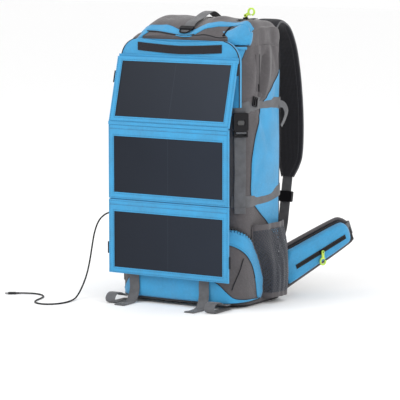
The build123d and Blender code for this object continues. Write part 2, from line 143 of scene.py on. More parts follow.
class Finish:
    """A Principled material that short calls add nodes to."""

    def __init__(self, name, rgb, roughness, **settings):
        self.material = bpy.data.materials.new(name)
        self.material.use_nodes = True
        self.tree = self.material.node_tree
        self.rgb = rgb
        self.shader = self.tree.nodes["Principled BSDF"]
        self.shader.inputs["Base Color"].default_value = linear(rgb)
        self.shader.inputs["Roughness"].default_value = roughness
        for key, value in settings.items():
            self.shader.inputs[key.replace("_", " ").title()].default_value = value
        if max(rgb) < 60:  # dark dyed cloth and plastic reflect little
            self.shader.inputs["Specular IOR Level"].default_value = 0.22

    def node(self, kind, inputs=None, **settings):
        node = self.tree.nodes.new("ShaderNode" + kind)
        for key, value in settings.items():
            setattr(node, key, value)
        for key, value in (inputs or {}).items():
            if isinstance(value, bpy.types.NodeSocket):
                self.tree.links.new(value, node.inputs[key])
            else:
                node.inputs[key].default_value = value
        return node.outputs

    def math(self, operation, first, second):
        return self.node("Math", {0: first, 1: second}, operation=operation)[0]

    def mix_colour(self, factor, first, second):
        mix = self.node("Mix", {0: factor, 6: first, 7: second}, data_type="RGBA")
        return mix[2]

    def place(self, coordinates, turn=0.0):
        source = self.node("TexCoord")[coordinates]
        return self.node("Mapping", {"Vector": source, "Rotation": (0, 0, turn)})[0]

    def wave(self, vector, pitch, direction):
        """Evenly spaced threads, a pitch in metres apart."""
        scale = 2 * math.pi / (20 * pitch)
        return self.node("TexWave", {"Vector": vector, "Scale": scale},
                         wave_type="BANDS", bands_direction=direction)["Fac"]

    def noise(self, vector, size, detail=3.0):
        return self.node("TexNoise", {"Vector": vector, "Scale": 1 / size, "Detail": detail})["Fac"]

    def ramp(self, value, low, high, start=0.0, end=1.0):
        out = self.node("MapRange", {"Value": value, "From Min": start, "From Max": end,
                                     "To Min": low, "To Max": high})
        return out["Result"]

    def colour(self, socket):
        self.tree.links.new(socket, self.shader.inputs["Base Color"])

    def roughness(self, socket):
        self.tree.links.new(socket, self.shader.inputs["Roughness"])

    def bump(self, height, depth, strength=1.0):
        """Relief of a depth in metres."""
        out = self.node("Bump", {"Height": height, "Distance": depth, "Strength": strength})
        self.tree.links.new(out["Normal"], self.shader.inputs["Normal"])


def woven(name, rgb, coordinates="UV", pitch=0.0011, shade=0.8, wear=1.14, sheen=0.25):
    """Plain-woven pack cloth: crossing threads, slow mottling, paler rubbed patches."""
    cloth = Finish(name, rgb, 0.72, sheen_weight=sheen, sheen_roughness=0.5)
    vector = cloth.place(coordinates)
    across = "X" if coordinates == "UV" else "Z"
    warp = cloth.wave(vector, pitch, across)
    weft = cloth.wave(cloth.place(coordinates, math.radians(45) if across == "Z" else 0),
                      pitch, "Y" if coordinates == "UV" else "X")
    threads = cloth.math("MULTIPLY", warp, weft)
    mottle = cloth.noise(vector, 0.05)
    slub = cloth.noise(vector, 0.006, 2.0)
    dark = cloth.mix_colour(cloth.ramp(mottle, 0, 1, 0.3, 0.7), linear(rgb, shade), linear(rgb))
    worn = cloth.mix_colour(cloth.ramp(slub, 0.0, 0.35, 0.45, 0.8), dark, linear(rgb, wear))
    cloth.colour(cloth.mix_colour(cloth.ramp(threads, 0.16, 0.0), worn, linear(rgb, 0.55)))
    cloth.roughness(cloth.ramp(mottle, 0.62, 0.82, 0.3, 0.7))
    fine = cloth.math("ADD", cloth.math("MULTIPLY", threads, 0.35), slub)
    slack = cloth.math("ABSOLUTE", cloth.math("SUBTRACT", cloth.noise(vector, 0.06, 2.0), 0.5), 0.0)
    cloth.bump(cloth.math("ADD", cloth.math("MULTIPLY", fine, 0.12), slack), 0.006, 0.5)
    return cloth.material


def ribbed_webbing(name, rgb):
    """Woven strap: ribs along its length crossed by fine picks."""
    strap = Finish(name, rgb, 0.66, sheen_weight=0.2)
    vector = strap.place("UV")
    ribs = strap.wave(vector, 0.0021, "X")
    picks = strap.wave(vector, 0.0012, "Y")
    wear = strap.noise(vector, 0.02)
    base = strap.mix_colour(strap.ramp(wear, 0, 1, 0.3, 0.75), linear(rgb, 0.86), linear(rgb, 1.1))
    both = strap.math("MULTIPLY", ribs, picks)
    strap.colour(strap.mix_colour(strap.ramp(both, 0.3, 0.0), base, linear(rgb, 0.6)))
    strap.bump(strap.math("ADD", ribs, strap.math("MULTIPLY", picks, 0.4)), 0.0004, 0.7)
    return strap.material


def air_mesh(name, rgb, cell=0.0034):
    """Spacer mesh over foam: small dark holes in rows."""
    mesh = Finish(name, rgb, 0.85, sheen_weight=0.15)
    vector = mesh.place("UV")
    holes = mesh.node("TexVoronoi", {"Vector": vector, "Scale": 1 / cell, "Randomness": 0.15})
    edge = mesh.ramp(holes["Distance"], 0.0, 1.0, 0.2, 0.5)
    mesh.colour(mesh.mix_colour(edge, linear(rgb, 0.45), linear(rgb, 1.25)))
    mesh.bump(edge, 0.0009, 0.8)
    return mesh.material


def moulded(name, rgb, roughness, coat=0.0, grain=0.0009):
    """Moulded plastic: fine spark-eroded grain with rubbed, paler patches."""
    plastic = Finish(name, rgb, roughness, coat_weight=coat)
    vector = plastic.place("Object")
    grains = plastic.noise(vector, grain, 2.0)
    rubbed = plastic.noise(vector, 0.012, 4.0)
    patch = plastic.ramp(rubbed, 0.0, 0.5, 0.5, 0.75)
    plastic.colour(plastic.mix_colour(patch, linear(rgb), linear(rgb, 1.3)))
    plastic.roughness(plastic.ramp(rubbed, roughness - 0.07, roughness + 0.09, 0.3, 0.7))
    plastic.bump(grains, 0.0001, 0.5)
    return plastic.material


def metal(name, rgb, roughness, metallic=1.0):
    """Drawn metal: fine lines along Z."""
    sheet = Finish(name, rgb, roughness, metallic=metallic)
    vector = sheet.node("Mapping", {"Vector": sheet.node("TexCoord")["Object"],
                                    "Scale": (1, 1, 0.03)})[0]
    lines = sheet.noise(vector, 0.0006, 3.0)
    sheet.roughness(sheet.ramp(lines, roughness - 0.08, roughness + 0.12, 0.3, 0.7))
    sheet.bump(lines, 0.00008, 0.5)
    return sheet.material


def solar_film(name):
    """Dark cells under a satin film, with a painted reflection that makes them paler from left to
    right: one faint seam down the middle, hair-fine collector lines.
    """
    film = Finish(name, (34, 39, 48), 0.45, coat_weight=0.05, coat_roughness=0.25)
    film.shader.inputs["Specular IOR Level"].default_value = 0.12
    vector = film.node("TexCoord")["Object"]
    x = film.node("SeparateXYZ", {"Vector": vector})[0]
    slow = film.noise(vector, 0.11, 1.0)
    # painted reflection: the cells are made paler from left to right by position, with slow random
    # tone on top
    spread = film.math("ADD", film.ramp(x, 0.0, 0.7, -0.14, 0.14), film.math("MULTIPLY", slow, 0.3))
    body = film.mix_colour(spread, linear((27, 32, 42)), linear((40, 47, 59)))
    fingers = film.wave(vector, 0.0022, "X")
    lined = film.mix_colour(film.ramp(fingers, 0.0, 0.22, 0.8, 1.0), body, linear((56, 62, 72)))
    middle = film.ramp(film.math("ABSOLUTE", x, 0.0), 0.3, 0.0, 0.0003, 0.0008)
    film.colour(film.mix_colour(middle, lined, linear((66, 73, 84))))
    pebble = film.noise(vector, 0.0016, 1.0)
    film.roughness(film.ramp(pebble, 0.3, 0.44, 0.3, 0.7))
    film.bump(pebble, 0.0001, 0.5)
    return film.material


def pile(name, rgb):
    """Loop side of a hook-and-loop strip."""
    loops = Finish(name, rgb, 0.95, sheen_weight=0.3)
    vector = loops.place("Object")
    fuzz = loops.noise(vector, 0.0016, 4.0)
    loops.colour(loops.mix_colour(fuzz, linear(rgb, 0.6), linear(rgb, 1.5)))
    loops.bump(fuzz, 0.0008, 1.0)
    return loops.material


BLUE = (60, 173, 231)
GREY = (94, 89, 92)
STRAP_GREY = (106, 107, 111)


def make_materials():
    """One material for each slot of the record, and a few that only added pieces use."""
    return {
        "fabric_grey": woven("fabric_grey", GREY),
        "fabric_blue": woven("fabric_blue", BLUE, shade=0.9, wear=1.06),
        "padding": air_mesh("padding", (36, 36, 42)),
        "webbing": ribbed_webbing("webbing", STRAP_GREY),
        "mesh_fabric": woven("mesh_fabric", (58, 62, 74), pitch=0.0008),
        "frame_plastic": moulded("frame_plastic", (88, 88, 88), 0.5),
        "stay_metal": metal("stay_metal", (222, 224, 227), 0.35),
        "black_plastic": moulded("black_plastic", (22, 21, 25), 0.45),
        "zip_tape": woven("zip_tape", (28, 27, 32), coordinates="Object", pitch=0.0009),
        "zip_metal": metal("zip_metal", (34, 34, 36), 0.4, metallic=0.6),
        "lime_plastic": moulded("lime_plastic", (200, 240, 84), 0.35, coat=0.2),
        "solar_laminate": solar_film("solar_laminate"),
        "stiffener_board": moulded("stiffener_board", (80, 80, 80), 0.6),
        "circuit_board": moulded("circuit_board", (24, 92, 52), 0.4, coat=0.4),
        "socket_steel": metal("socket_steel", (218, 220, 223), 0.3),
        "cord_jacket": moulded("cord_jacket", (26, 26, 27), 0.5, grain=0.0006),
        "plug_plastic": moulded("plug_plastic", (30, 30, 32), 0.3, coat=0.3),
        # dark binding and trim; also painted shade where the pocket's corners crease and under the zip
        # flaps
        "dark_trim_and_shade": woven("dark_trim_and_shade", (34, 34, 40), pitch=0.0008),
        "hook_pile": pile("hook_pile", (28, 26, 32)),
        # darker blue of the stitching thread; also painted shade in the crease of each solar panel's
        # band
        "stitch_and_crease_shade_blue": woven("stitch_and_crease_shade_blue", (46, 132, 182), pitch=0.0006),
        "lining": woven("lining", (74, 74, 78), pitch=0.0014),
    }


# --- mesh building ------------------------------------------------------------------------
def clamp(value):
    return min(max(value, 0), 1)


def eased(share):
    """Rises steeply from 0 and levels off at 1, as a quarter circle does."""
    return math.sqrt(max(0, 1 - (1 - share) ** 2))


def bell(value, middle, width):
    return math.exp(-((value - middle) / width) ** 2)


def ripple(a, b, c):
    """Smooth noise that repeats nowhere, for slack cloth."""
    return noise.noise(Vector((a, b, c)))


def mirror(sign, point):
    return Vector((sign * point.x, point.y, point.z))


def new_object(name, data):
    obj = bpy.data.objects.new(name, data)
    bpy.context.scene.collection.objects.link(obj)
    return obj


def shade(mesh, sharp):
    mesh.shade_smooth()
    mesh.set_sharp_from_angle(angle=math.radians(sharp))


def build(name, vertices, faces, uvs, material, sharp=50):
    """A mesh object; vertices in mm, one UV pair in metres for each face corner."""
    mesh = bpy.data.meshes.new(name)
    mesh.from_pydata([Vector(v) * MM for v in vertices], [], faces)
    layer = mesh.uv_layers.new(name="UVMap")
    layer.data.foreach_set("uv", [value for pair in uvs for value in pair])
    mesh.materials.append(MATERIALS[material])
    work = bmesh.new()
    work.from_mesh(mesh)
    bmesh.ops.recalc_face_normals(work, faces=work.faces)
    work.to_mesh(mesh)
    work.free()
    shade(mesh, sharp)
    return new_object(name, mesh)


def running_lengths(points):
    total = [0.0]
    for before, after in zip(points, points[1:]):
        total.append(total[-1] + (Vector(after) - Vector(before)).length)
    return total


def loft(name, rows, material, wrap=True, caps=True, sharp=50):
    """A skin over rows of points. wrap joins each row into a ring, caps close the end rings."""
    count = len(rows[0])
    across = count if wrap else count - 1
    vertices = [point for row in rows for point in row]
    along = running_lengths([sum((Vector(p) for p in row), Vector()) / count for row in rows])
    around = [running_lengths(list(row) + [row[0]]) for row in rows]
    middle = [lengths[count // 2] for lengths in around]
    faces, uvs = [], []
    for r in range(len(rows) - 1):
        for c in range(across):
            n = (c + 1) % count
            faces.append((r * count + c, r * count + n, (r + 1) * count + n, (r + 1) * count + c))
            for rr, cc in ((r, c), (r, c + 1), (r + 1, c + 1), (r + 1, c)):
                uvs.append(((around[rr][cc] - middle[rr]) * MM, along[rr] * MM))
    if caps:
        for r in (0, len(rows) - 1):
            centre = len(vertices)
            vertices.append(sum((Vector(p) for p in rows[r]), Vector()) / count)
            for c in range(count):
                face = (r * count + c, r * count + (c + 1) % count, centre)
                faces.append(face)
                for index in face:
                    point = Vector(vertices[index])
                    uvs.append((point.x * MM, (point.y + point.z) * MM))
    return build(name, vertices, faces, uvs, material, sharp)


def smooth_path(points, step=6.0):
    """Points about a step apart on a smooth curve through the given ones."""
    points = [Vector(p) for p in points]
    ends = [2 * points[0] - points[1]] + points + [2 * points[-1] - points[-2]]
    path = []
    for a, b, c, d in zip(ends, ends[1:], ends[2:], ends[3:]):
        count = max(1, round((c - b).length / step))
        for k in range(count):
            t = k / count
            path.append(0.5 * (2 * b + (c - a) * t + (2 * a - 5 * b + 4 * c - d) * t**2
                               + (3 * b - a - 3 * c + d) * t**3))
    return path + [points[-1]]


def divided(edges, counts):
    """Values from the first edge to just before the last, in a count of steps between each two."""
    values = []
    for low, high, count in zip(edges, edges[1:], counts):
        values += [low + (high - low) * k / count for k in range(count)]
    return values


def spread(stops, step):
    """The stops with evenly spaced values between them, about a step apart."""
    counts = [max(1, round(abs(high - low) / step)) for low, high in zip(stops, stops[1:])]
    return divided(stops, counts) + [stops[-1]]


def curve_value(table):
    """A function that reads a smooth curve through (position, value) pairs."""
    path = smooth_path([(a, b, 0) for a, b in table], abs(table[-1][0] - table[0][0]) / 80)

    def read(position):
        if position <= path[0].x:
            return path[0].y
        for before, after in zip(path, path[1:]):
            if position <= after.x:
                share = (position - before.x) / max(after.x - before.x, 1e-6)
                return before.y + (after.y - before.y) * share
        return path[-1].y
    return read


def ring_around(centre, side, out, half_side, half_out, count=20, power=2.6):
    """A closed, rounded section: side and out are unit vectors, power squares it off."""
    points = []
    for k in range(count):
        angle = 2 * math.pi * k / count
        c, s = math.cos(angle), math.sin(angle)
        a = math.copysign(abs(c) ** (2 / power), c) * half_side
        b = math.copysign(abs(s) ** (2 / power), s) * half_out
        points.append(centre + side * a + out * b)
    return points


def tangents(path):
    ends = [path[0]] + list(path) + [path[-1]]
    return [(after - before).normalized() for before, after in zip(ends, ends[2:])]


def tube(name, points, radius, material, step=6.0, sides=8):
    """A round cord or piping through the points."""
    path = smooth_path(points, step) if step else [Vector(p) for p in points]
    rows = []
    for point, along in zip(path, tangents(path)):
        side = along.orthogonal().normalized() if not rows else (side - along * side.dot(along))
        side.normalize()
        rows.append(ring_around(point, side, along.cross(side), radius, radius, sides, 2))
    return loft(name, rows, material)


def webbing(name, points, across, width=25.0, material="webbing", thick=WEBBING, step=6.0):
    """Flat ribbed strap. across is the direction of its width, or one for each point given."""
    path = smooth_path(points, step) if step else [Vector(p) for p in points]
    if isinstance(across, Vector):
        sides = [across] * len(path)
    else:
        lengths = running_lengths(points)
        total = running_lengths(path)
        reads = [curve_value([(s, v[axis]) for s, v in zip(lengths, across)]) for axis in range(3)]
        scale = lengths[-1] / total[-1]
        sides = [Vector([read(s * scale) for read in reads]) for s in total]
    ribs = 12
    rows = []
    for point, along, side in zip(path, tangents(path), sides):
        side = (side - along * side.dot(along)).normalized()
        out = along.cross(side)
        top = []
        for k in range(ribs + 1):
            edge = k in (0, ribs)
            height = thick / 2 * (0.45 if edge else 1.0 - 0.14 * (k % 2))
            top.append((width * (k / ribs - 0.5), height))
        ring = [point + side * a + out * b for a, b in top]
        ring += [point + side * a - out * b for a, b in reversed(top)]
        rows.append(ring)
    return loft(name, rows, material, sharp=60)


STITCH, STITCH_GAP = 2.6, 1.9


def stitches(name, path, material, radius):
    """A sewn line: short thread bars laid end to end along a path given every few mm."""
    vertices, faces, uvs = [], [], []
    lengths = running_lengths(path)
    position = STITCH_GAP
    index = 0
    while position + STITCH < lengths[-1]:
        while lengths[index + 1] < position:
            index += 1
        span = lengths[index + 1] - lengths[index]
        along = (Vector(path[index + 1]) - Vector(path[index])) / span
        start = Vector(path[index]) + along * (position - lengths[index])
        side = along.orthogonal().normalized()
        out = along.cross(side)
        first = len(vertices)
        for end, size in ((0, 0.5), (0.25, 1), (0.75, 1), (1, 0.5)):
            for angle in (45, 135, 225, 315):
                c, s = math.cos(math.radians(angle)), math.sin(math.radians(angle))
                round_it = (side * c + out * s) * radius * size
                vertices.append(start + along * STITCH * end + round_it)
        for ring in range(3):
            for k in range(4):
                a, b = first + ring * 4 + k, first + ring * 4 + (k + 1) % 4
                faces.append((a, b, b + 4, a + 4))
        faces += [tuple(first + k for k in (3, 2, 1, 0)), tuple(first + 12 + k for k in range(4))]
        uvs += [(0.0, 0.0)] * 56  # 14 faces of 4 corners
        position += STITCH + STITCH_GAP
    return build(name, vertices, faces, uvs, material)


def overlay(name, source, wanted, material, lift=0.4, thick=0.9):
    """A second layer of cloth sewn over some faces of a finished skin."""
    mesh = source.data
    chosen = [p for p in mesh.polygons if wanted(p.center / MM, p.index)]
    used = sorted({v for p in chosen for v in p.vertices})
    order = {v: k for k, v in enumerate(used)}
    layer = mesh.uv_layers[0].data
    vertices = [(mesh.vertices[v].co / MM) + mesh.vertices[v].normal * lift for v in used]
    faces = [tuple(order[v] for v in p.vertices) for p in chosen]
    uvs = [layer[k].uv[:] for p in chosen for k in p.loop_indices]
    skin = bpy.data.meshes.new(name)
    skin.from_pydata([v * MM for v in vertices], [], faces)
    skin.uv_layers.new(name="UVMap").data.foreach_set("uv", [x for pair in uvs for x in pair])
    skin.materials.append(MATERIALS[material])
    shade(skin, 50)
    obj = new_object(name, skin)
    solidify = obj.modifiers.new("Solidify", "SOLIDIFY")
    solidify.thickness = thick * MM
    solidify.offset = 1
    return obj


def inflate(obj, pressure, cap, held, frames=20):
    """Cloth simulation with air pressure inside; held says which points stay sewn down."""
    rest = [v.co.copy() for v in obj.data.vertices]
    pins = obj.vertex_groups.new(name="sewn")
    pins.add([v.index for v in obj.data.vertices if held(v.co / MM)], 1.0, "REPLACE")
    cloth = obj.modifiers.new("Cloth", "CLOTH")
    cloth.settings.vertex_group_mass = "sewn"
    cloth.settings.quality = 5
    cloth.settings.mass = 0.3
    cloth.settings.tension_stiffness = 15
    cloth.settings.bending_stiffness = 0.6
    cloth.settings.use_pressure = True
    cloth.settings.uniform_pressure_force = pressure
    cloth.settings.effector_weights.gravity = 0
    cloth.point_cache.frame_end = frames
    scene = bpy.context.scene
    for number in range(1, frames + 1):
        scene.frame_set(number)
    final = obj.evaluated_get(bpy.context.evaluated_depsgraph_get()).data
    moved = [v.co.copy() for v in final.vertices]
    obj.modifiers.remove(cloth)
    obj.vertex_groups.remove(pins)
    scene.frame_set(1)
    for vertex, old, new in zip(obj.data.vertices, rest, moved):
        move = new - old
        if move.length > cap * MM:
            move *= cap * MM / move.length
        vertex.co = old + move
    obj.data.update()
    return obj


def smoother(obj, levels=1):
    obj.modifiers.new("Subdivision", "SUBSURF").levels = levels
    obj.modifiers["Subdivision"].render_levels = levels
    return obj


def piece(obj, body, slot, *stands_for):
    """Puts a finished piece on its body, in place of CAD nodes. Its slot is not used."""
    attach(obj, body)
    if stands_for:
        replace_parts(obj, *stands_for)
    return obj


def piping(name, line, radius, material="dark_trim_and_shade", slot="padding", body="pack", step=0, sides=8):
    """A round binding, cord or bar on a body."""
    return piece(tube(name, line, radius, material, step, sides), body, slot)


def strap(name, line, across, width=25.0, material="webbing", thick=WEBBING, step=6.0,
          body="pack", slot="webbing", nodes=()):
    """A flat strap on a body, in place of CAD nodes."""
    return piece(webbing(name, line, across, width, material, thick, step), body, slot, *nodes)


def seam(name, path, material, slot="fabric_blue", body="pack", radius=0.32):
    """A sewn line on a body."""
    return piece(stitches(name, path, material, radius), body, slot)


def skin_line(obj, indices, lift=0.0):
    """Points of a finished skin, in mm, moved out along its normals."""
    chosen = [obj.data.vertices[k] for k in indices]
    return [vertex.co / MM + vertex.normal * lift for vertex in chosen]


# --- CAD nodes that stay ------------------------------------------------------------------
def dress_nodes():
    """Each CAD node gets its slot's material; hard plastic and metal get small edge radii."""
    for part in frame["record"]["subparts"]:
        obj, slot = NODES[part["node"]], part["material_slot"]
        obj.data.materials.clear()
        obj.data.materials.append(MATERIALS[slot])
        if slot in ("black_plastic", "lime_plastic", "zip_metal", "plug_plastic"):
            weld = obj.modifiers.new("Weld", "WELD")
            weld.merge_threshold = 0.00002
            bevel = obj.modifiers.new("Bevel", "BEVEL")
            bevel.width = 0.0005
            bevel.segments = 2
            bevel.limit_method = "ANGLE"
            bevel.angle_limit = math.radians(45)


# --- the phone lead -----------------------------------------------------------------------
CORD_DIAMETER = 3.5
CORD_ROUTE = [
    (-142.0, -95.0, 190.0), (-163.0, -95.0, 190.0), (-187.0, -97.5, 186.0),
    (-206.0, -101.0, 170.0), (-214.5, -106.0, 144.0), (-217.0, -112.0, 113.0),
    (-218.0, -119.5, 80.0), (-219.0, -131.0, 48.0), (-221.0, -149.0, 20.0),
    (-219.0, -172.0, 3.6), (-213.0, -199.0, 1.9), (-210.0, -228.0, 1.9),
    (-219.0, -254.0, 1.9), (-241.0, -268.0, 1.9), (-266.0, -261.0, 1.9),
    (-281.0, -239.0, 1.9), (-287.0, -211.0, 1.9), (-296.0, -184.0, 1.9),
    (-317.0, -166.0, 1.9), (-344.0, -168.0, 2.9), (-366.0, -182.0, 2.9),
]


def make_lead():
    curve = bpy.data.curves.new("phone_lead", "CURVE")
    curve.dimensions = "3D"
    curve.bevel_depth = CORD_DIAMETER / 2 * MM
    curve.bevel_resolution = 4
    curve.use_fill_caps = True
    spline = curve.splines.new("NURBS")
    spline.points.add(len(CORD_ROUTE) - 1)
    for point, place in zip(spline.points, CORD_ROUTE):
        point.co = (*(Vector(place) * MM), 1.0)
    spline.order_u = 3
    spline.use_endpoint_u = True
    spline.resolution_u = 8
    curve.materials.append(MATERIALS["cord_jacket"])
    lead = piece(new_object("phone_lead", curve), "lead", "cord_jacket", "lead_cord")


make_camera()
MATERIALS = make_materials()
make_studio()
make_lead()
dress_nodes()


# --- the bag ------------------------------------------------------------------------------
CORNER_ARC = FRONT_R * math.pi / 2
FRONT_FLAT = HALF_WIDTH - FRONT_R
SIDE_START = FRONT_FLAT + CORNER_ARC
REAR_EDGE = SIDE_START + (2 * HALF_DEPTH - FRONT_R - BACK_R)
BACK_START = REAR_EDGE + BACK_R * math.pi / 2
BAG_GIRTH = BACK_START + HALF_WIDTH - BACK_R  # half of it, from mid front to mid back
STRAP_BANDS = (230.5, 430.5)  # heights of the two compression straps
# Where the blue front meets the grey gusset, and the gusset meets the blue side panel:
# distances round the bag from the middle of its front, by height.
FRONT_SEAM = curve_value([(0, 118), (250, 118), (400, 121), (431, 141), (496, 134), (560, 157)])
SIDE_SEAM = curve_value([(0, 286.8), (130, 286), (152, 262), (175, 240), (228, 176), (285, 169),
                         (339, 174), (424, 208), (444, 224), (497, 283), (515, 286.8), (560, 286.8)])
# Deep folds of the side cloth: start, end, half width and height of each, by distance and height.
DEEP_FOLDS = (((218, 534), (203, 456), 7.0, -7.0), ((250, 590), (274, 508), 8.0, -5.5),
              ((193, 550), (166, 462), 11.0, 4.5), ((238, 550), (222, 446), 10.0, 4.5),
              ((206, 410), (232, 330), 8.0, -3.5), ((196, 300), (178, 258), 8.0, -3.5))
BULGE_BY_HEIGHT = curve_value([(0, 0), (178, 0), (205, 1.5), (228, -1.2), (250, 2.6), (330, 7.0),
                               (405, 3.2), (430, -1.2), (455, 2.2), (505, 5.5), (560, 3.5)])
BAG_PARTS = (("blue", 12), ("gusset", 34), ("panel", 12), ("rear", 12))  # columns in each half
HALF_PARTS = [part for part, count in BAG_PARTS for _ in range(count)]
COLUMN_PARTS = HALF_PARTS + HALF_PARTS[::-1]
BAG_COLUMNS = len(COLUMN_PARTS)
FRONT_SEAM_COLUMN = BAG_PARTS[0][1]
SIDE_SEAM_COLUMN = FRONT_SEAM_COLUMN + BAG_PARTS[1][1]
# (inset, height) of each ring of the shell: its rounded foot, its wall, its rim and its inside.
FOOT_R = 8.0
WALL_ROWS = 74
RIM_Z = BAG_TOP - 2
FOOT_TURNS = [math.radians(22.5 * k) for k in range(5)]
BAG_ROWS = [(FOOT_R * (1 - math.sin(turn)), FOOT_R * (1 - math.cos(turn))) for turn in FOOT_TURNS]
BAG_ROWS += [(0.0, FOOT_R + (RIM_Z - FOOT_R) * k / WALL_ROWS) for k in range(1, WALL_ROWS + 1)]
OUTER_ROWS = len(BAG_ROWS)
BAG_ROWS += [(0.6, BAG_TOP - 0.6), (1.5, BAG_TOP), (2.4, BAG_TOP - 0.6), (WALL, RIM_Z)]
BAG_ROWS += [(WALL, RIM_Z - (RIM_Z - WALL) * k / 12) for k in range(1, 13)]


def bag_outline(s, grow=0.0):
    """(x, y) at a signed distance s round the bag, and the outward direction there."""
    a = abs(s)
    if a <= FRONT_FLAT:
        x, y, out = a, -HALF_DEPTH, (0, -1)
    elif a <= SIDE_START:
        angle = (a - FRONT_FLAT) / FRONT_R
        out = (math.sin(angle), -math.cos(angle))
        x, y = FRONT_FLAT + FRONT_R * out[0], -HALF_DEPTH + FRONT_R + FRONT_R * out[1]
    elif a <= REAR_EDGE:
        x, y, out = HALF_WIDTH, -HALF_DEPTH + FRONT_R + a - SIDE_START, (1, 0)
    elif a <= BACK_START:
        angle = (a - REAR_EDGE) / BACK_R
        out = (math.cos(angle), math.sin(angle))
        x, y = HALF_WIDTH - BACK_R + BACK_R * out[0], HALF_DEPTH - BACK_R + BACK_R * out[1]
    else:
        x, y, out = HALF_WIDTH - BACK_R - (a - BACK_START), HALF_DEPTH, (0, 1)
    side = 1 if s >= 0 else -1
    out = Vector((side * out[0], out[1], 0))
    return Vector((side * x, y, 0)) + out * grow, out


def deep_folds(s, z):
    total = 0.0
    for start, end, width, height in DEEP_FOLDS:
        line = Vector(end) - Vector(start)
        here = Vector((s, z)) - Vector(start)
        share = clamp(here.dot(line) / line.length_squared)
        total += height * bell((here - line * share).length, 0, width)
    return total


def gusset_folds(s, z):
    """Slack cloth of the side gusset: long folds that run down and back, deepest near the top."""
    slack = clamp((z - 235) / 230)
    folds = 4.6 * ripple(s / 30 + z / 130, z / 150, 3.1) + 2.2 * ripple(s / 15 - z / 85, z / 90, 7.7)
    return folds * (0.22 + 0.78 * slack) + deep_folds(abs(s), z)


def bag_swell(s, z):
    """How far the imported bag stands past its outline: most between the straps."""
    start = SIDE_START - 22
    a = abs(s)
    if not start < a < REAR_EDGE + 8:
        return 0.0
    share = math.sin(math.pi * (a - start) / (REAR_EDGE + 8 - start))
    calm = 1.0 if min(abs(z - band) for band in STRAP_BANDS) > 16 else 0.25
    folds = gusset_folds(s, z) * calm if z > 178 else 0.0
    return share * (BULGE_BY_HEIGHT(z) + folds)


def bag_surface(s, z, lift=0.0):
    point, out = bag_outline(s)
    point += out * (bag_swell(s, z) + lift)
    point.z = z
    return point


def bag_columns(z):
    """Signed distances round the bag of every column at a height."""
    edges = (0, FRONT_SEAM(z), SIDE_SEAM(z), REAR_EDGE + 1, BAG_GIRTH)
    half = divided(edges, [count for _, count in BAG_PARTS])
    return half + [BAG_GIRTH] + [-s for s in reversed(half[1:])]


def in_bag_part(part, index):
    """Whether a face of the shell's outside belongs to a part."""
    row, column = divmod(index, BAG_COLUMNS)
    return 2 < row < OUTER_ROWS - 1 and COLUMN_PARTS[column] == part


def held_down(p):
    """The bag's cloth is free only at its sides, above and below the upper strap."""
    side = abs(p.x) > HALF_WIDTH - 2 and -30 < p.y < 62
    return not side or not (258 < p.z < 405 or 458 < p.z < 545)


def make_bag():
    """The bag's grey shell, open at the top, with the blue panels sewn over it."""
    rings = [[bag_surface(s, z, -inset) for s in bag_columns(z)] for inset, z in BAG_ROWS]
    bag = inflate(loft("bag_shell", rings, "fabric_grey"), 4.0, 4.0, held_down)
    front = overlay("front_panel", bag, lambda c, k: in_bag_part("blue", k), "fabric_blue")
    piece(front, "pack", "fabric_blue")
    back = overlay("harness_panel", bag, lambda c, k: in_bag_part("rear", k), "dark_trim_and_shade", lift=0.2)
    piece(back, "pack", "padding")
    for side, sign in SIDES:
        panel = overlay(f"side_panel_{side}", bag, lambda c, k: c.x * sign > 0 and c.z < 512
                        and in_bag_part("panel", k), "fabric_blue")
        piece(panel, "pack", "fabric_blue")
        # the piping of each seam starts at a row of the shell and ends at a height
        for label, column, first, top in (("front", FRONT_SEAM_COLUMN, 17, BAG_TOP),
                                          ("side", SIDE_SEAM_COLUMN, 19, 500)):
            column = column if sign > 0 else BAG_COLUMNS - column
            rows = [r for r in range(first, OUTER_ROWS) if BAG_ROWS[r][1] < top]
            line = skin_line(bag, [r * BAG_COLUMNS + column for r in rows], 0.7)
            piping(f"{label}_seam_{side}", line, 0.9, slot="fabric_grey", sides=6)
    piece(bag, "pack", "fabric_grey", "main_bag")


def make_rear_piping():
    """Dark binding down both rear edges and round the base."""
    for side, sign in SIDES:
        line = [bag_surface(sign * REAR_EDGE, z, 0.6) for z in range(20, 548, 8)]
        piping(f"rear_piping_{side}", line, 1.5)
        sewn = [bag_surface(sign * (REAR_EDGE - 7), z, 1.6) for z in range(185, 500, 5)]
        seam(f"rear_stitches_{side}", sewn, "fabric_blue")
    base = [bag_outline(k * BAG_GIRTH / 60, -1.4)[0] + UP * 3.4 for k in range(-60, 60)]
    piping("base_piping", base + base[:1], 1.9)


def make_side_zip(side, sign):
    """Short covered zip high on the gusset, with a dark tube along its flap that is partly its coil
    and partly painted shade in its opening, and a small toggle.
    """
    line = [bag_surface(sign * (188 + 0.04 * (545 - z)), z, 1.0) for z in range(462, 546, 4)]
    strap(f"gusset_zip_flap_{side}", line, Vector((0.2 * sign, 1, 0)), 11, "fabric_grey", 1.4, 0,
          slot="fabric_grey")
    # the dark tube along the flap's edge is partly the zip's coil and partly painted shade in its
    # opening
    edge = [p + Vector((sign * 1.2, 5.2, 0)) for p in line]
    piping(f"gusset_zip_coil_and_shade_{side}", edge, 1.1, slot="zip_tape")
    slit = [p + Vector((sign * 1.4, 3, 0)) for p in line[:5]]
    piping(f"gusset_toggle_{side}", slit, 2.0, "black_plastic", "black_plastic")


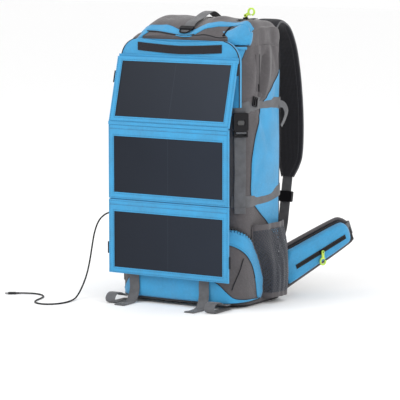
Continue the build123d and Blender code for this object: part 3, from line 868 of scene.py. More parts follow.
# --- compression straps, buckles and webbing ----------------------------------------------
# (distance round the bag, height) along each strap, and round the patch under the upper one
BAG_STRAPS = {
    "upper": ((124, 424), (150, 428), (182, 435), (215, 437), (245, 435), (262, 433), (275, 432),
              (REAR_EDGE, 431), (REAR_EDGE + 6, 431), (REAR_EDGE + 12, 431)),
    "lower": ((124, 229), (160, 228), (200, 230), (240, 232), (260, 235), (275, 238),
              (REAR_EDGE, 241), (REAR_EDGE + 6, 242), (REAR_EDGE + 12, 243)),
}
PATCH_RIM = ((127, 404), (150, 401), (188, 421), (222, 427), (224, 447), (186, 452), (150, 447),
             (127, 433), (127, 404))
SLIDER_LOOP = ((-9, -7), (6, -11), (9, 7), (-6, 11), (-9, -7))


def make_strap_patch(side, sign):
    """Grey patch sewn on under the upper strap's front end."""
    rim = smooth_path([(s, z, 0) for s, z in PATCH_RIM], 6)
    middle = sum(rim, Vector()) / len(rim)

    def ring(share, lift):
        places = [middle + (p - middle) * share for p in rim]
        return [bag_surface(sign * p.x, p.y, lift) for p in places]
    rows = [ring(share, lift)[:-1] for share, lift in ((0.5, 1.0), (0.9, 0.9), (1.0, 0.2))]
    piece(loft(f"strap_patch_{side}", rows, "fabric_grey"), "pack", "fabric_grey")
    seam(f"strap_patch_stitches_{side}", ring(0.9, 1.6), "fabric_grey", "fabric_grey")


def make_compression(side, sign):
    """Two straps round the bag's side; the upper one passes a slider and leaves a folded tail."""
    for label, places in BAG_STRAPS.items():
        line = [bag_surface(sign * s, z, 1.4) for s, z in places]
        strap(f"{label}_strap_{side}", line, UP, step=5)
    make_strap_patch(side, sign)
    centre = bag_surface(sign * 182, 441, 3.4)
    loop = [centre + Vector((0, y, z)) for y, z in SLIDER_LOOP]
    piping(f"strap_slider_{side}", loop, 1.9, "black_plastic", "black_plastic")
    bar = [centre + Vector((0, z / 6, z)) for z in (-9, 9)]
    piping(f"strap_slider_bar_{side}", bar, 1.7, "black_plastic", "black_plastic")
    tail = [bag_surface(sign * REAR_EDGE, 430, 1.6)]
    tail += [(sign * x, y, z) for x, y, z in
             ((154.5, 85, 425), (157.5, 91, 411), (155, 88, 395), (151.6, 80, 380))]
    strap(f"strap_tail_fold_{side}", tail, Vector((0, 0.9, 0.5)), 16, step=4)


CORNER_AT = FRONT_FLAT + CORNER_ARC / 2
BUCKLE_Z = 400.0
DIAGONAL = math.sqrt(0.5)


def corner_point(sign, x, y, out):
    """A point in the buckle's frame: x along the bag, y up, out of the front corner."""
    point, normal = bag_outline(CORNER_AT)
    along = Vector((DIAGONAL, DIAGONAL, 0))
    return mirror(sign, point + along * x + normal * out + UP * (BUCKLE_Z + y))


def make_side_buckle(side, sign):
    """Webbing above and below the side-release buckle, and the lens on its face."""
    across = Vector((sign * DIAGONAL, DIAGONAL, 0))
    body = f"side_plug_{side}"

    def line(*places):
        return [corner_point(sign, *place) for place in places]
    anchor = line((0, 30, 1.2), (0, 14, 1.2), (0, 0, 1.3), (0, -9, 1.2))
    strap(f"buckle_anchor_{side}", anchor, across)
    tail = line((0, -21, 3.2), (0, -60, 3.3), (0.6, -110, 3.4), (-0.5, -160, 3.2), (0, -196, 3.3))
    strap(f"buckle_tail_{side}", tail, across, body=body, nodes=[f"side_strap_tail_{side}"])
    hem = line((0, -196, 4.6), (0, -184, 4.6))
    strap(f"tail_hem_{side}", hem, across, thick=1.8, step=4, body=body)
    turns = [k * math.pi / 8 for k in range(16)]
    lens = line(*[(7.5 * math.cos(turn), -1 + 7.5 * math.sin(turn), 9.6) for turn in turns])
    rise = corner_point(sign, 0, 0, 12.4) - corner_point(sign, 0, 0, 10)
    lens = loft(f"buckle_lens_{side}", [lens, [p + rise for p in lens]], "stiffener_board", sharp=30)
    piece(lens, "pack", "black_plastic")
    bar = line((-11, -22.4, 12.2), (11, -22.4, 12.2))
    piping(f"buckle_bar_{side}", bar, 2.0, "webbing", "webbing", body)


make_bag()
make_rear_piping()
for side, sign in SIDES:
    make_side_zip(side, sign)
    make_compression(side, sign)
    make_side_buckle(side, sign)
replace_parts(bpy.data.objects["upper_strap_right"], "compression_straps")


# --- lid ----------------------------------------------------------------------------------
LID_LOW, LID_HIGH = box_mm("top_lid")
LID_SKIRT = BAG_TOP - 5  # the lid's sides hang this low, outside the bag's rim
LID_PROFILE = curve_value([(-78, 577), (-66, 586.5), (-54, 595), (-40, 602.5), (-24, 608),
                           (-8, 611.4), (22, 611.8), (52, 611.2), (66, 608), (78, 598)])
LID_GAP = 1.2  # between the bag's outline and the lid's
LID_CLOTH = 2.4
LID_PARTS = (("grey", 38), ("blue", 4), ("grey", 30), ("blue", 10), ("grey", 38))  # columns
LID_COLUMN_PARTS = [part for part, count in LID_PARTS for _ in range(count)]
LID_COLUMNS = len(LID_COLUMN_PARTS)
TOP_ROWS, SKIRT_ROWS = 25, 8
FRONT_BEND = FRONT_R - HALF_DEPTH
REAR_BEND = 60.0
ZIP_X = 100.0
RIM = [(-116, -56), (-98, -61), (-72, -63), (-38, -68), (-6, -74), (6, -74.5), (26, -67), (54, -52),
       (82, -42), (112, -37), (146, -34)]


def lid_height(x, y):
    """Top of the stuffed lid: two humps, a dip under the cinch strap, a flat seat for the zip."""
    flat, radius = (92, 44) if x < 0 else (124, 20)
    beyond = min(max(abs(x) - flat, 0), radius * 0.96)
    drop = radius - math.sqrt(radius**2 - beyond**2)
    humps = 6.5 * bell(x, -72, 42) * bell(y, 8, 52) + 8 * bell(x, 52, 24) * bell(y, -4, 34)
    humps += 5 * bell(x, 128, 15) * bell(y, -20, 30)
    front = 5 * bell(x, -48, 30) + 5 * bell(x, 50, 30) - 2 * bell(x, 4, 10)
    humps += front * bell(y, -62, 26)
    pinch = ripple(x / 13, y / 60, 2.0) * 2.2 * bell(x, 4, 55) * bell(y, -45, 30)
    folds = ripple(x / 34, y / 26, 5.0) * 2.4
    seat = bell(x, ZIP_X, 11) * (1 if -22 < y < 60 else bell(y, 20, 45))
    cinch = 0 if -8 < y < 45 else 0.8 * bell(x, 0, 17)
    return LID_PROFILE(y) - drop + (humps + folds + pinch) * (1 - max(seat, cinch)) - 0.4


def stretched(value, bend, end, new_end):
    """Stretches what lies past the bend, so that the end comes to a new place."""
    return bend + (value - bend) * (new_end - bend) / (end - bend)


def lid_outline(s, grow=0.0):
    """The lid's plan: outside the bag at the sides, behind the stow sleeve at the front."""
    point, out = bag_outline(s, grow * 0.7)
    if point.y < FRONT_BEND:
        point.y = stretched(point.y, FRONT_BEND, -HALF_DEPTH, LID_LOW.y)
    if point.y > REAR_BEND:
        point.y = stretched(point.y, REAR_BEND, HALF_DEPTH, LID_HIGH.y)
    return point, out


def lid_stops(share):
    """Signed distances round the bag of the lid's columns; share is the height up its skirt."""
    edges = (-BAG_GIRTH, -124, -104, 112, 157 + 20 * share, BAG_GIRTH)
    return divided(edges, [count for _, count in LID_PARTS])


def lid_top_ring(share, sink):
    ring = []
    for s in lid_stops(1):
        place = lid_outline(s, LID_GAP - sink)[0] * share
        place.y += 2 * (1 - share)
        place.z = lid_height(place.x, place.y) - sink
        ring.append(place)
    return ring


def lid_skirt_ring(share, sink):
    ring = []
    for s in lid_stops(share):
        place, out = lid_outline(s, LID_GAP - sink)
        low = LID_SKIRT if abs(s) > SIDE_START - 12 else LID_LOW.z
        place.z = low + (lid_height(place.x, place.y) - low - sink) * share
        puff = math.sin(math.pi * share) * (2.2 + gusset_folds(s, place.z) * 0.8)
        place += out * (puff if place.y > -60 else 0.3 * puff)
        ring.append(place)
    return ring


def make_lid():
    """Lid shell from the middle of its top, out and down the skirt, and back up inside."""
    shares = [0.02 + 0.98 * k / (TOP_ROWS - 1) for k in range(TOP_ROWS)]
    rings = [lid_top_ring(share, 0) for share in shares]
    rings += [lid_skirt_ring(1 - k / SKIRT_ROWS, 0) for k in range(1, SKIRT_ROWS + 1)]
    rings += [lid_skirt_ring(k / 5, LID_CLOTH) for k in range(5)]
    rings += [lid_top_ring(share, LID_CLOTH) for share in reversed(shares[::2])]
    lid = loft("lid_shell", rings, "fabric_grey")
    inflate(lid, 3.0, 2.5, lambda p: p.z < 590 or abs(p.x) < 20 or abs(p.x - ZIP_X) < 14
            or p.y > 66)
    hem_row = TOP_ROWS + SKIRT_ROWS - 1

    def at_corner(centre, index):
        row, column = divmod(index, LID_COLUMNS)
        return 19 <= row < hem_row and LID_COLUMN_PARTS[column] == "blue"
    corner = overlay("lid_corner_panel", lid, at_corner, "fabric_blue")
    piece(corner, "lid", "fabric_blue")
    hem = skin_line(lid, [hem_row * LID_COLUMNS + k for k in range(LID_COLUMNS)])
    hem = [p + UP for p in hem]
    piping("lid_hem", hem + hem[:1], 1.0, "fabric_grey", "fabric_grey", "lid", sides=6)
    piece(smoother(lid), "lid", "fabric_grey", "top_lid")


def draped(points, lift):
    return [Vector((x, y, lid_height(x, y) + lift)) for x, y in points]


def draped_strip(name, centre, width, material, lift, thick):
    """Cloth strip that lies on the lid along (x, y) points."""
    path = smooth_path([(x, y, 0) for x, y in centre], 4)
    rows = []
    for point, along in zip(path, tangents(path)):
        side = Vector((-along.y, along.x, 0))
        across = [(point + side * width * (k / 6 - 0.5)).xy for k in range(7)]
        rows.append(draped(across, lift) + draped(across, lift - thick)[::-1])
    return piece(loft(name, rows, material, sharp=60), "lid", material)


def make_lid_front():
    """Blue rim that dips to the hook, a dark tube under it as painted shade in the opening there, its
    slider and cord loop.
    """
    draped_strip("lid_rim", RIM, 14, "fabric_blue", 2.4, 2.0)
    for label, shift in (("upper", 5.6), ("lower", -5.6)):
        sewn = draped([(x, y + shift) for x, y in RIM], 2.9)
        seam(f"lid_rim_stitches_{label}", smooth_path(sewn, 4), "fabric_blue", body="lid")
    # painted shade: the dark opening tube under the rim stands for the shade in the opening beneath it
    under = [(x, max(y - 8.4, LID_LOW.y + 1)) for x, y in RIM[1:7]]
    low = [(x, -77) for x in range(28, 112, 6)]
    rise = [(97, -74), (98, -66), (99, -58), (100, -50)]
    loop = [(100, -50), (106, -49), (111, -53)]
    for label, places, lift, radius, material, slot, step in (
            ("opening", under, 1.2, 1.8, "dark_trim_and_shade", "zip_tape", 4),
            ("coil", low, 0.8, 1.3, "dark_trim_and_shade", "zip_tape", 4),
            ("slider", rise, 1.8, 2.1, "black_plastic", "black_plastic", 2),
            ("cord", loop, 2.2, 0.9, "dark_trim_and_shade", "cord_jacket", 2)):
        piping(f"lid_front_{label}", draped(places, lift), radius, material, slot, "lid", step)


def make_lid_strap():
    """Cinch strap over the lid, with a folded end sewn at the back and a hook at the front."""
    line = [(0, 60, 613.6), (0, 50, 619.2), (0, 36, 625.6), (0, 26, 626.8), (0, 8, 622.8),
            (0, -13, 615.2), (0, -41, 607.4), (0, -60, 595.2), (0, -72, 586.6)]
    strap("lid_cinch_strap", line, ACROSS, step=4, body="lid", nodes=["lid_strap"])
    draped_strip("lid_strap_patch", [(0, 44), (0, 68)], 31, "fabric_grey", 1.7, 1.4)
    box = [(-12, 48), (12, 48), (12, 64), (-12, 64), (-12, 48)]
    seam("lid_strap_box_stitch", smooth_path(draped(box, 2.6), 3), "webbing", "webbing", "lid")
    prong = [(-13, -71, 590.5), (-9, -76.5, 586), (7, -76.5, 586), (14, -68, 592.5)]
    piping("lid_hook_prong", prong, 1.7, "black_plastic", "black_plastic", "lid", 3)


TOOTH_CORNERS = ((-1, -1, -1), (1, -1, -1), (1, 1, -1), (-1, 1, -1),
                 (-0.6, -0.7, 1), (0.6, -0.7, 1), (0.6, 0.7, 1), (-0.6, 0.7, 1))
TOOTH_FACES = ((3, 2, 1, 0), (4, 5, 6, 7), (0, 1, 5, 4), (1, 2, 6, 5), (2, 3, 7, 6), (3, 0, 4, 7))


def teeth(name, body, start, end, across, out, pitch=2.1):
    """Two interlocked rows of moulded zip teeth between two points."""
    along = (end - start).normalized()
    vertices, faces = [], []
    for k in range(int((end - start).length / pitch)):
        middle = start + along * (k + 0.5) * pitch + across * (0.8 if k % 2 else -0.8)
        faces += [tuple(len(vertices) + v for v in face) for face in TOOTH_FACES]
        vertices += [middle + along * a * 0.62 + across * b * 1.3 + out * c * 0.45
                     for a, b, c in TOOTH_CORNERS]
    uvs = [(0.0, 0.0)] * (4 * len(faces))
    return piece(build(name, vertices, faces, uvs, "black_plastic", sharp=20), body, "zip_tape")


def make_lid_zip():
    low, high = box_mm("lid_zip_tape")
    x, z = (low.x + high.x) / 2, high.z + 0.4
    slider_low, slider_high = box_mm("lid_zip_slider")
    for label, start, end in (("front", low.y + 1, slider_low.y - 1),
                              ("back", slider_high.y + 1, high.y - 1)):
        teeth(f"lid_zip_teeth_{label}", "lid", Vector((x, start, z)), Vector((x, end, z)), ACROSS, UP)


# --- stow sleeve and its strip ------------------------------------------------------------
SLEEVE_LOW, SLEEVE_HIGH = box_mm("stow_sleeve")
SLEEVE_R = 44.0
SLEEVE_TOP = SLEEVE_HIGH.z - 9  # a worn sleeve hangs below its cut edge
SLEEVE_BEND = SLEEVE_TOP - SLEEVE_R  # its sides curve in above this height
SLEEVE_COLUMNS = 20  # in each half
MOUTH_HALF = 102.0
MOUTH_SAG, STRIP_SAG = 6.0, 5.4
SLEEVE_HEIGHTS = [SLEEVE_LOW.z + 4 * k for k in range(25)]
SLEEVE_HEIGHTS = [z for z in SLEEVE_HEIGHTS if z < SLEEVE_BEND]
SLEEVE_HEIGHTS += [SLEEVE_BEND + SLEEVE_R * math.sin(math.radians(7.5 * k)) for k in range(1, 12)]


def sleeve_half(z):
    rise = min(max(z - SLEEVE_BEND, 0), SLEEVE_R)
    return SLEEVE_HIGH.x - SLEEVE_R + math.sqrt(SLEEVE_R**2 - rise**2)


def sleeve_face(x, z):
    """y of the sleeve's front: nearly flat at the strip, creased above the hem."""
    crease = ripple(x / 60 + z / 40, z / 10, 1.5) * 5.0 * bell(z, 537, 11)
    ease = 0.8 * ripple(x / 60, z / 40, 8.0)
    return SLEEVE_LOW.y + 0.2 - max(crease, -0.6) - max(0, ease) * (0 if z > 541 else 1)


def mouth_sag(x):
    return MOUTH_SAG * max(1 - (x / MOUTH_HALF) ** 2, 0)


def sleeve_ring(z, inset):
    half = max(sleeve_half(z) - inset * 2, 90)
    shares = [k / SLEEVE_COLUMNS for k in range(-SLEEVE_COLUMNS, SLEEVE_COLUMNS + 1)]
    front = []
    for share in shares:
        x = share * half
        edge = 3.2 * max(0, abs(share) - 0.9) / 0.1
        top = z - mouth_sag(x) * clamp((z - 536) / 24)
        front.append(Vector((x, sleeve_face(x, z) + inset + edge, top)))
    back = SLEEVE_HIGH.y - 0.3 - inset
    return front + [Vector((share * half, back, z)) for share in reversed(shares)]


def make_sleeve():
    """Flat blue sleeve that the folded sheet slides into, with bound sides and mouth."""
    heights = SLEEVE_HEIGHTS
    rings = [sleeve_ring(z, 0) for z in heights] + [sleeve_ring(heights[-1], 0.8)]
    rings += [sleeve_ring(z, 1.6) for z in reversed(heights[4::3])]
    sleeve = loft("sleeve_cover", rings, "fabric_blue")
    inflate(sleeve, 1.0, 1.2, lambda p: p.z > 541 or p.z < 440 or p.y > -93 or abs(p.x) > 130)
    piece(sleeve, "pack", "fabric_blue", "stow_sleeve")
    for side, sign in SIDES:
        line = [(sign * (sleeve_half(z) - 0.5), SLEEVE_LOW.y + 3.4, z) for z in heights]
        piping(f"sleeve_piping_{side}", line, 1.2, slot="fabric_blue", sides=6)
        face = sleeve_face(0, 560) - 0.3
        sewn = [(sign * (sleeve_half(z) - 7), face, z) for z in heights[:-3]]
        seam(f"sleeve_stitches_{side}", sewn, "fabric_blue")
    mouth = [(x, SLEEVE_LOW.y + 0.6, SLEEVE_TOP - 0.4 - mouth_sag(x)) for x in range(-102, 103, 6)]
    piping("sleeve_mouth_binding", mouth, 1.3, "fabric_blue", "fabric_blue")


def make_strip():
    """Black loop strip sewn across the sleeve, a little lower at its middle."""
    low, high = box_mm("hook_and_loop_strip")
    centre, half = (low + high) / 2, (high - low) / 2
    rows = []
    for k in range(-20, 21):
        share = k / 20
        drop = STRIP_SAG * (1 - abs(share) ** 1.4)
        place = centre + Vector((share * half.x, -0.1, -drop))
        rows.append(ring_around(place, UP, REARWARD, half.z, 0.9, 16, 6))
    strip = loft("sleeve_strip", rows, "hook_pile")
    piece(strip, "pack", "zip_tape", "hook_and_loop_strip")


def make_lid_hinge():
    """Cloth that joins the bag's rear wall to the lid's rear edge."""
    rear = LID_HIGH.y + 2.4
    path = [(0, rear + 0.3, BAG_TOP - 16), (0, rear + 0.3, 572), (0, rear, 588), (0, rear - 3, 598),
            (0, 74, lid_height(90, 74) + 2.2), (0, 67, lid_height(90, 67) + 2.0)]
    cloth = webbing("lid_hinge_cloth", path, ACROSS, 226, "fabric_grey", 1.2, 3)
    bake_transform(cloth)


def make_rim_roll(side, sign):
    """Bound edge of the bag's front corner, which fills the step under the lid's hem."""
    line = [bag_surface(sign * s, BAG_TOP - 4, 0.4) for s in range(108, 160, 4)]
    piping(f"rim_roll_{side}", line, 3.6, "fabric_blue", "fabric_blue")


make_lid()
make_lid_front()
for side, sign in SIDES:
    make_rim_roll(side, sign)
make_lid_strap()
make_lid_zip()
make_lid_hinge()
make_sleeve()
make_strip()


# --- lower pocket -------------------------------------------------------------------------
POCKET_LOW, POCKET_HIGH = box_mm("lower_pocket")
POCKET_R = 66.0  # plan radius of its front corners
POCKET_FLAT = POCKET_HIGH.x - POCKET_R
FLAP_START = POCKET_FLAT + POCKET_R * math.pi / 2
POCKET_END = 248.0  # half its length round the bag
# Heights by distance from the middle of the front: the pocket's top edge, the lower edge of
# its band, the top of its blue base, and its bottom edge.
ARCH_TOP = curve_value([(0, 170), (118, 170), (150, 165), (175, 154), (200, 137), (222, 112),
                        (238, 82), (246, 52), (248, 36)])
BAND_LOW = curve_value([(0, 142), (112, 142), (138, 138), (163, 126), (186, 106), (203, 83),
                        (213, 58), (219, 34), (223, 15), (248, 15)])
BASE_TOP = curve_value([(0, 92), (60, 80), (92, 66), (115, 52), (131, 37), (152, 22), (206, 17),
                        (248, 14)])
POCKET_FLOOR = curve_value([(0, 9.5), (200, 11), (228, 13), (240, 18), (248, 30)])
ARCH_LINE = [Vector((u, ARCH_TOP(u), 0)) for u in range(0, 249, 8)]
PUFF_EDGE = 36.0  # how far in from the arch the pocket reaches its full depth
POCKET_STATIONS = [POCKET_END * k / 62 for k in range(-62, 63)]
UNDER_ROWS, BASE_ROWS, MIDDLE_ROWS, BAND_ROWS, BEHIND_ROWS = 2, 8, 12, 7, 4
BASE_END = UNDER_ROWS + BASE_ROWS
BAND_START = BASE_END + MIDDLE_ROWS
BAND_END = BAND_START + BAND_ROWS
POCKET_COLUMNS = BAND_END + 1 + BEHIND_ROWS


def pocket_plan(u):
    """The pocket's outer wall and the bag behind it, at a signed distance along the wall."""
    a = abs(u)
    grow = 0.4
    if a <= POCKET_FLAT:
        outer = Vector((a, POCKET_LOW.y, 0))
        inner = Vector((a * FRONT_FLAT / POCKET_FLAT, -HALF_DEPTH - grow, 0))
    elif a <= FLAP_START:
        angle = (a - POCKET_FLAT) / POCKET_R
        out = Vector((math.sin(angle), -math.cos(angle), 0))
        outer = Vector((POCKET_FLAT, POCKET_LOW.y + POCKET_R, 0)) + out * POCKET_R
        inner = Vector((FRONT_FLAT, FRONT_BEND, 0)) + out * (FRONT_R + grow)
    else:
        run = a - FLAP_START
        outer = Vector((POCKET_HIGH.x, POCKET_LOW.y + POCKET_R + run, 0))
        inner = Vector((HALF_WIDTH + grow, FRONT_BEND + run * 0.78, 0))
    sign = 1 if u >= 0 else -1
    return mirror(sign, outer), mirror(sign, inner)


def pocket_point(u, z, lift=0.0):
    """A point on the stuffed pocket: full in front, rounding back to the bag at its arch."""
    outer, inner = pocket_plan(u)
    gap = min((Vector((abs(u), z, 0)) - p).length for p in ARCH_LINE)
    foot = clamp((z - POCKET_FLOOR(abs(u))) / 26)
    full = (0.16 + 0.84 * eased(clamp(gap / PUFF_EDGE))) * (0.80 + 0.20 * eased(foot))
    folds = ripple(u / 26, z / 30 + u / 90, 4.0) * 2.6 + ripple(u / 11 + z / 30, z / 16, 6.0) * 0.9
    place = inner + (outer - inner) * full
    place += (outer - inner).normalized() * (folds * clamp(gap / 20) * foot + lift)
    place.z = z
    return place


def pocket_ring(u):
    """One station: two points under the pocket, its front from foot to arch, and its back."""
    low, top = POCKET_FLOOR(abs(u)), ARCH_TOP(abs(u))
    base = min(max(BASE_TOP(abs(u)), low + 0.4), top - 1.2)
    band = min(max(BAND_LOW(abs(u)), base + 0.4), top - 0.8)
    heights = divided((low, base, band, top), (BASE_ROWS, MIDDLE_ROWS, BAND_ROWS)) + [top]
    front = [pocket_point(u, z) for z in heights]
    inner = pocket_plan(u)[1]
    middle = (inner + front[0]) / 2
    under = [Vector((inner.x, inner.y, low + 2)), Vector((middle.x, middle.y, low + 0.6))]
    behind = [Vector((inner.x, inner.y, top - 0.3 - (top - low - 3) * k / 4))
              for k in range(BEHIND_ROWS)]
    return under + front + behind


def pocket_line(pocket, row, lift, reach):
    """Points along one row of the finished pocket, out to a distance from its middle."""
    return skin_line(pocket, [r * POCKET_COLUMNS + row for r, u in enumerate(POCKET_STATIONS)
                              if abs(u) <= reach], lift)


def make_lower_pocket():
    pocket = loft("pocket_body", [pocket_ring(u) for u in POCKET_STATIONS], "fabric_grey")
    inflate(pocket, 4.0, 3.5, lambda p: p.y > -97 or p.z < 26 or p.z > 150)
    faces = POCKET_COLUMNS * (len(POCKET_STATIONS) - 1)

    def panel(name, low, high, *layer):
        skin = overlay(name, pocket, lambda centre, index: index < faces
                       and low <= index % POCKET_COLUMNS < high, "fabric_blue", *layer)
        return piece(skin, "pack", "fabric_blue")
    panel("pocket_base_panel", UNDER_ROWS, BASE_END, 0.3)
    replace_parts(panel("pocket_band", BAND_START, BAND_END, 0.5, 1.2), "lower_pocket_band")
    for label, row, radius, reach, rise in (("base", BASE_END, 0.8, 222, 0),
                                            ("band_inner", BAND_START, 0.9, 214, 0),
                                            ("band_outer", BAND_END, 1.9, 248, 1.5)):
        line = [p + UP * rise for p in pocket_line(pocket, row, 0.9, reach)]
        piping(f"pocket_piping_{label}", line, radius, sides=6)
    for label, row in (("outer", BAND_END - 1), ("inner", BAND_START + 1)):
        line = pocket_line(pocket, row, 2.0, 204)
        seam(f"pocket_band_stitches_{label}", line, "stitch_and_crease_shade_blue")
    hem = [pocket_point(u, POCKET_FLOOR(abs(u)) + 1.2, 0.6) for u in range(-236, 237, 6)]
    piping("pocket_foot_binding", hem, 2.2)
    # painted shade: a dark tube down each front corner of the pocket stands for the shade in the
    # crease there
    crease = smooth_path([(172, 108, 0), (164, 88, 0), (152, 62, 0), (144, 42, 0)], 4)
    for side, sign in SIDES:
        line = [pocket_point(sign * p.x, p.y, 1.6) for p in crease]
        piping(f"pocket_crease_shade_{side}", line, 1.3, slot="fabric_grey")
    piece(smoother(pocket), "pack", "fabric_grey", "lower_pocket")


# --- mesh bottle pockets ------------------------------------------------------------------
NET_LOW, NET_HIGH = box_mm("mesh_pocket_right")
NET_PITCH = 7.6  # across one diamond
NET_FOOT = 20.0
NET_TOP = NET_HIGH.z - 9
NET_WALL, NET_REAR = 150.0, 74.0  # the bag's side, and the net's rear edge
NET_PLAN = [(155.4, -43), (167, -41), (177, -27), (181, 0), (183, 32), (181, 57), (170, 71),
            (151.2, 74)]
NET_PATH = smooth_path([(x, y, 0) for x, y in NET_PLAN], 3)
NET_LENGTHS = running_lengths(NET_PATH)
NET_GIRTH = NET_LENGTHS[-1]
# By height: how far the net stands out of the bag's side, and where its front edge runs.
NET_GATHER = curve_value([(10, 0.72), (30, 0.9), (75, 1.02), (120, 0.98), (150, 0.82), (176, 0.58)])
NET_FRONT = curve_value([(10, 1), (36, 0), (52, -2), (82, -10), (112, -26), (137, -42), (176, -43)])


def net_point(sign, distance, z, lift=0.0):
    """A point on the bottle pocket, by distance along its top binding and height."""
    k = 1
    while k < len(NET_LENGTHS) - 1 and NET_LENGTHS[k] < distance:
        k += 1
    share = (distance - NET_LENGTHS[k - 1]) / (NET_LENGTHS[k] - NET_LENGTHS[k - 1])
    place = NET_PATH[k - 1].lerp(NET_PATH[k], share)
    calm = clamp(min(distance, NET_GIRTH - distance) / 25)
    fold = ripple(distance / 17, z / 75, 12.0) * 3.4 * calm
    out = (place.x - NET_WALL) * NET_GATHER(z) + fold + lift
    out *= min(1, 0.45 + distance / 40)  # it is sewn down along the lower pocket's arch
    squeeze = (NET_REAR - NET_FRONT(z)) / (NET_REAR - NET_PLAN[0][1])
    y = NET_REAR - (NET_REAR - place.y) * squeeze
    return Vector((sign * (NET_WALL + max(out, 1.2)), y, z))


def diamond_faces(across, up):
    """Corners of a diamond net and its diamonds, cut to triangles at the edges."""
    order, faces = {}, []
    for i in range(across + 1):
        for j in range(i % 2, up + 1, 2):
            ring = []
            for a, b in ((i - 1, j), (i, j - 1), (i + 1, j), (i, j + 1)):
                key = (min(max(a, 0), across), min(max(b, 0), up))
                ring.append(order.setdefault(key, len(order)))
            ring = list(dict.fromkeys(ring))
            if len(ring) > 2:
                faces.append(tuple(ring))
    return order, faces


def make_net_cloth(side, sign):
    """Open net: each diamond is inset and its middle taken out."""
    across = 2 * round(NET_GIRTH / NET_PITCH)
    height = NET_TOP - NET_FOOT
    up = 2 * round(height / (NET_PITCH * 1.15))
    order, faces = diamond_faces(across, up)
    points = [net_point(sign, NET_GIRTH * i / across, NET_FOOT + height * j / up) for i, j in order]
    uvs = [(points[v].y * MM, points[v].z * MM) for face in faces for v in face]
    net = build(f"net_{side}", points, faces, uvs, "mesh_fabric")
    work = bmesh.new()
    work.from_mesh(net.data)
    holes = list(work.faces)
    bmesh.ops.inset_individual(work, faces=holes, thickness=1.2 * MM, use_even_offset=True)
    bmesh.ops.delete(work, geom=holes, context="FACES_ONLY")
    work.to_mesh(net.data)
    work.free()
    net.modifiers.new("Solidify", "SOLIDIFY").thickness = 0.9 * MM
    piece(net, "pack", "mesh_fabric", f"mesh_pocket_{side}")


def make_net(side, sign):
    """Open diamond net with an elastic top binding, side bindings and a solid foot."""
    make_net_cloth(side, sign)
    stops = spread([0, NET_GIRTH], 4)
    heights = range(16, int(NET_TOP) + 8, 6)
    grey = {"material": "fabric_grey", "slot": "fabric_grey", "step": 0}
    for label, z, width in (("top", NET_TOP + 4, 13), ("foot", NET_FOOT - 1, 11)):
        line = [net_point(sign, distance, z, 0.4) for distance in stops]
        strap(f"net_{label}_binding_{side}", line, UP, width, thick=2.0, **grey)
    for label, distance in (("front", 2.0), ("rear", NET_GIRTH - 3.5)):
        line = [net_point(sign, distance, z, 0.6) for z in heights]
        strap(f"net_{label}_binding_{side}", line, REARWARD, 5, thick=1.6, **grey)
    rings = []
    for distance in stops:
        floor = net_point(sign, distance, NET_LOW.z + 1, -0.6)
        wall = Vector((sign * (HALF_WIDTH + 0.6), floor.y, floor.z))
        rings.append([wall, floor, floor - UP * 1.4, wall - UP * 1.4])
    piece(loft(f"net_floor_{side}", rings, "fabric_grey", sharp=60), "pack", "fabric_grey")


# --- lashing tails and loops at the base --------------------------------------------------
LASH_TAIL_GROUND = ((-131.5, 13), (-143, 3.0), (-162, 1.4), (-187, 1.2))
LASH_LOOP = ((-104, 10.8), (-124, 11.4), (-146, 21), (-163, 21.5), (-173, 12), (-168, 2.6),
             (-148, 1.2), (-104, 1.2))


def make_base_straps():
    """Two tails down the pocket onto the ground, and two loops, each sewn in at the base."""
    # the place across, and the distance along the pocket's wall of the cloth behind it
    for label, x, u in (("left", -96.0, -POCKET_FLAT - 8.5), ("right", 82.0, 80.77)):
        line = [pocket_point(u, z, 5.5) for z in (112, 92, 70, 48, 30)]
        line = [(x, p.y, p.z) for p in line] + [(x, y, z) for y, z in LASH_TAIL_GROUND]
        strap(f"lash_tail_{label}", line, ACROSS, step=4)
        hem = [(x, -187, 2.6), (x, -177, 2.6)]
        strap(f"lash_tail_hem_{label}", hem, ACROSS, 24.4, thick=1.2, step=4)
        sewn = smooth_path([(x + shift, -179, 3.4) for shift in (-10, 0, 10)], 3)
        seam(f"lash_tail_stitches_{label}", sewn, "dark_trim_and_shade", "webbing")
    for label, x in (("left", -128.0), ("right", 124.0)):
        strap(f"lash_loop_{label}", [(x, y, z) for y, z in LASH_LOOP], ACROSS, step=4)
    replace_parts(bpy.data.objects["lash_tail_left"], "base_straps")


make_lower_pocket()
for side, sign in SIDES:
    make_net(side, sign)
make_base_straps()


# --- solar sheet --------------------------------------------------------------------------
SHEET_HALF = box_mm("solar_cover_2")[1].x
SHEET_THICK = 5.0
SHEET_TOP = Vector((0, -99.5, 532))
TOP_LEAN = math.radians(15)
FOLD_GAP = 1.0
# (length, cloth above the laminate) of each panel, as they are cut
PANELS = ((147.0, 9.0), (165.0, 26.0), (163.0, 25.0))
BANDED = 12.0  # a panel with more cloth than this above its laminate has a sewn band there
LAMINATE_HALF, LAMINATE_HEIGHT = 139.0, 126.0
LIP = 2.0  # cloth over the laminate's edge
SEWN_IN = 3.0  # the sewn lines run this far inside each edge
CLOTH_STEP = 3.5
FOLD_1 = SHEET_TOP + Vector((0, -math.sin(TOP_LEAN), -math.cos(TOP_LEAN))) * PANELS[0][0]
FOLD_2 = FOLD_1 - UP * PANELS[1][0]
PANEL_PLACES = [
    Matrix.Translation(SHEET_TOP) @ Matrix.Rotation(-TOP_LEAN, 4, "X"),
    Matrix.Translation(FOLD_1), Matrix.Translation(FOLD_2),
]


def panel_window(index):
    """Left, right, bottom and top of the opening over a panel's laminate."""
    above = PANELS[index][1]
    return LIP - LAMINATE_HALF, LAMINATE_HALF - LIP, LIP - above - LAMINATE_HEIGHT, -above - LIP


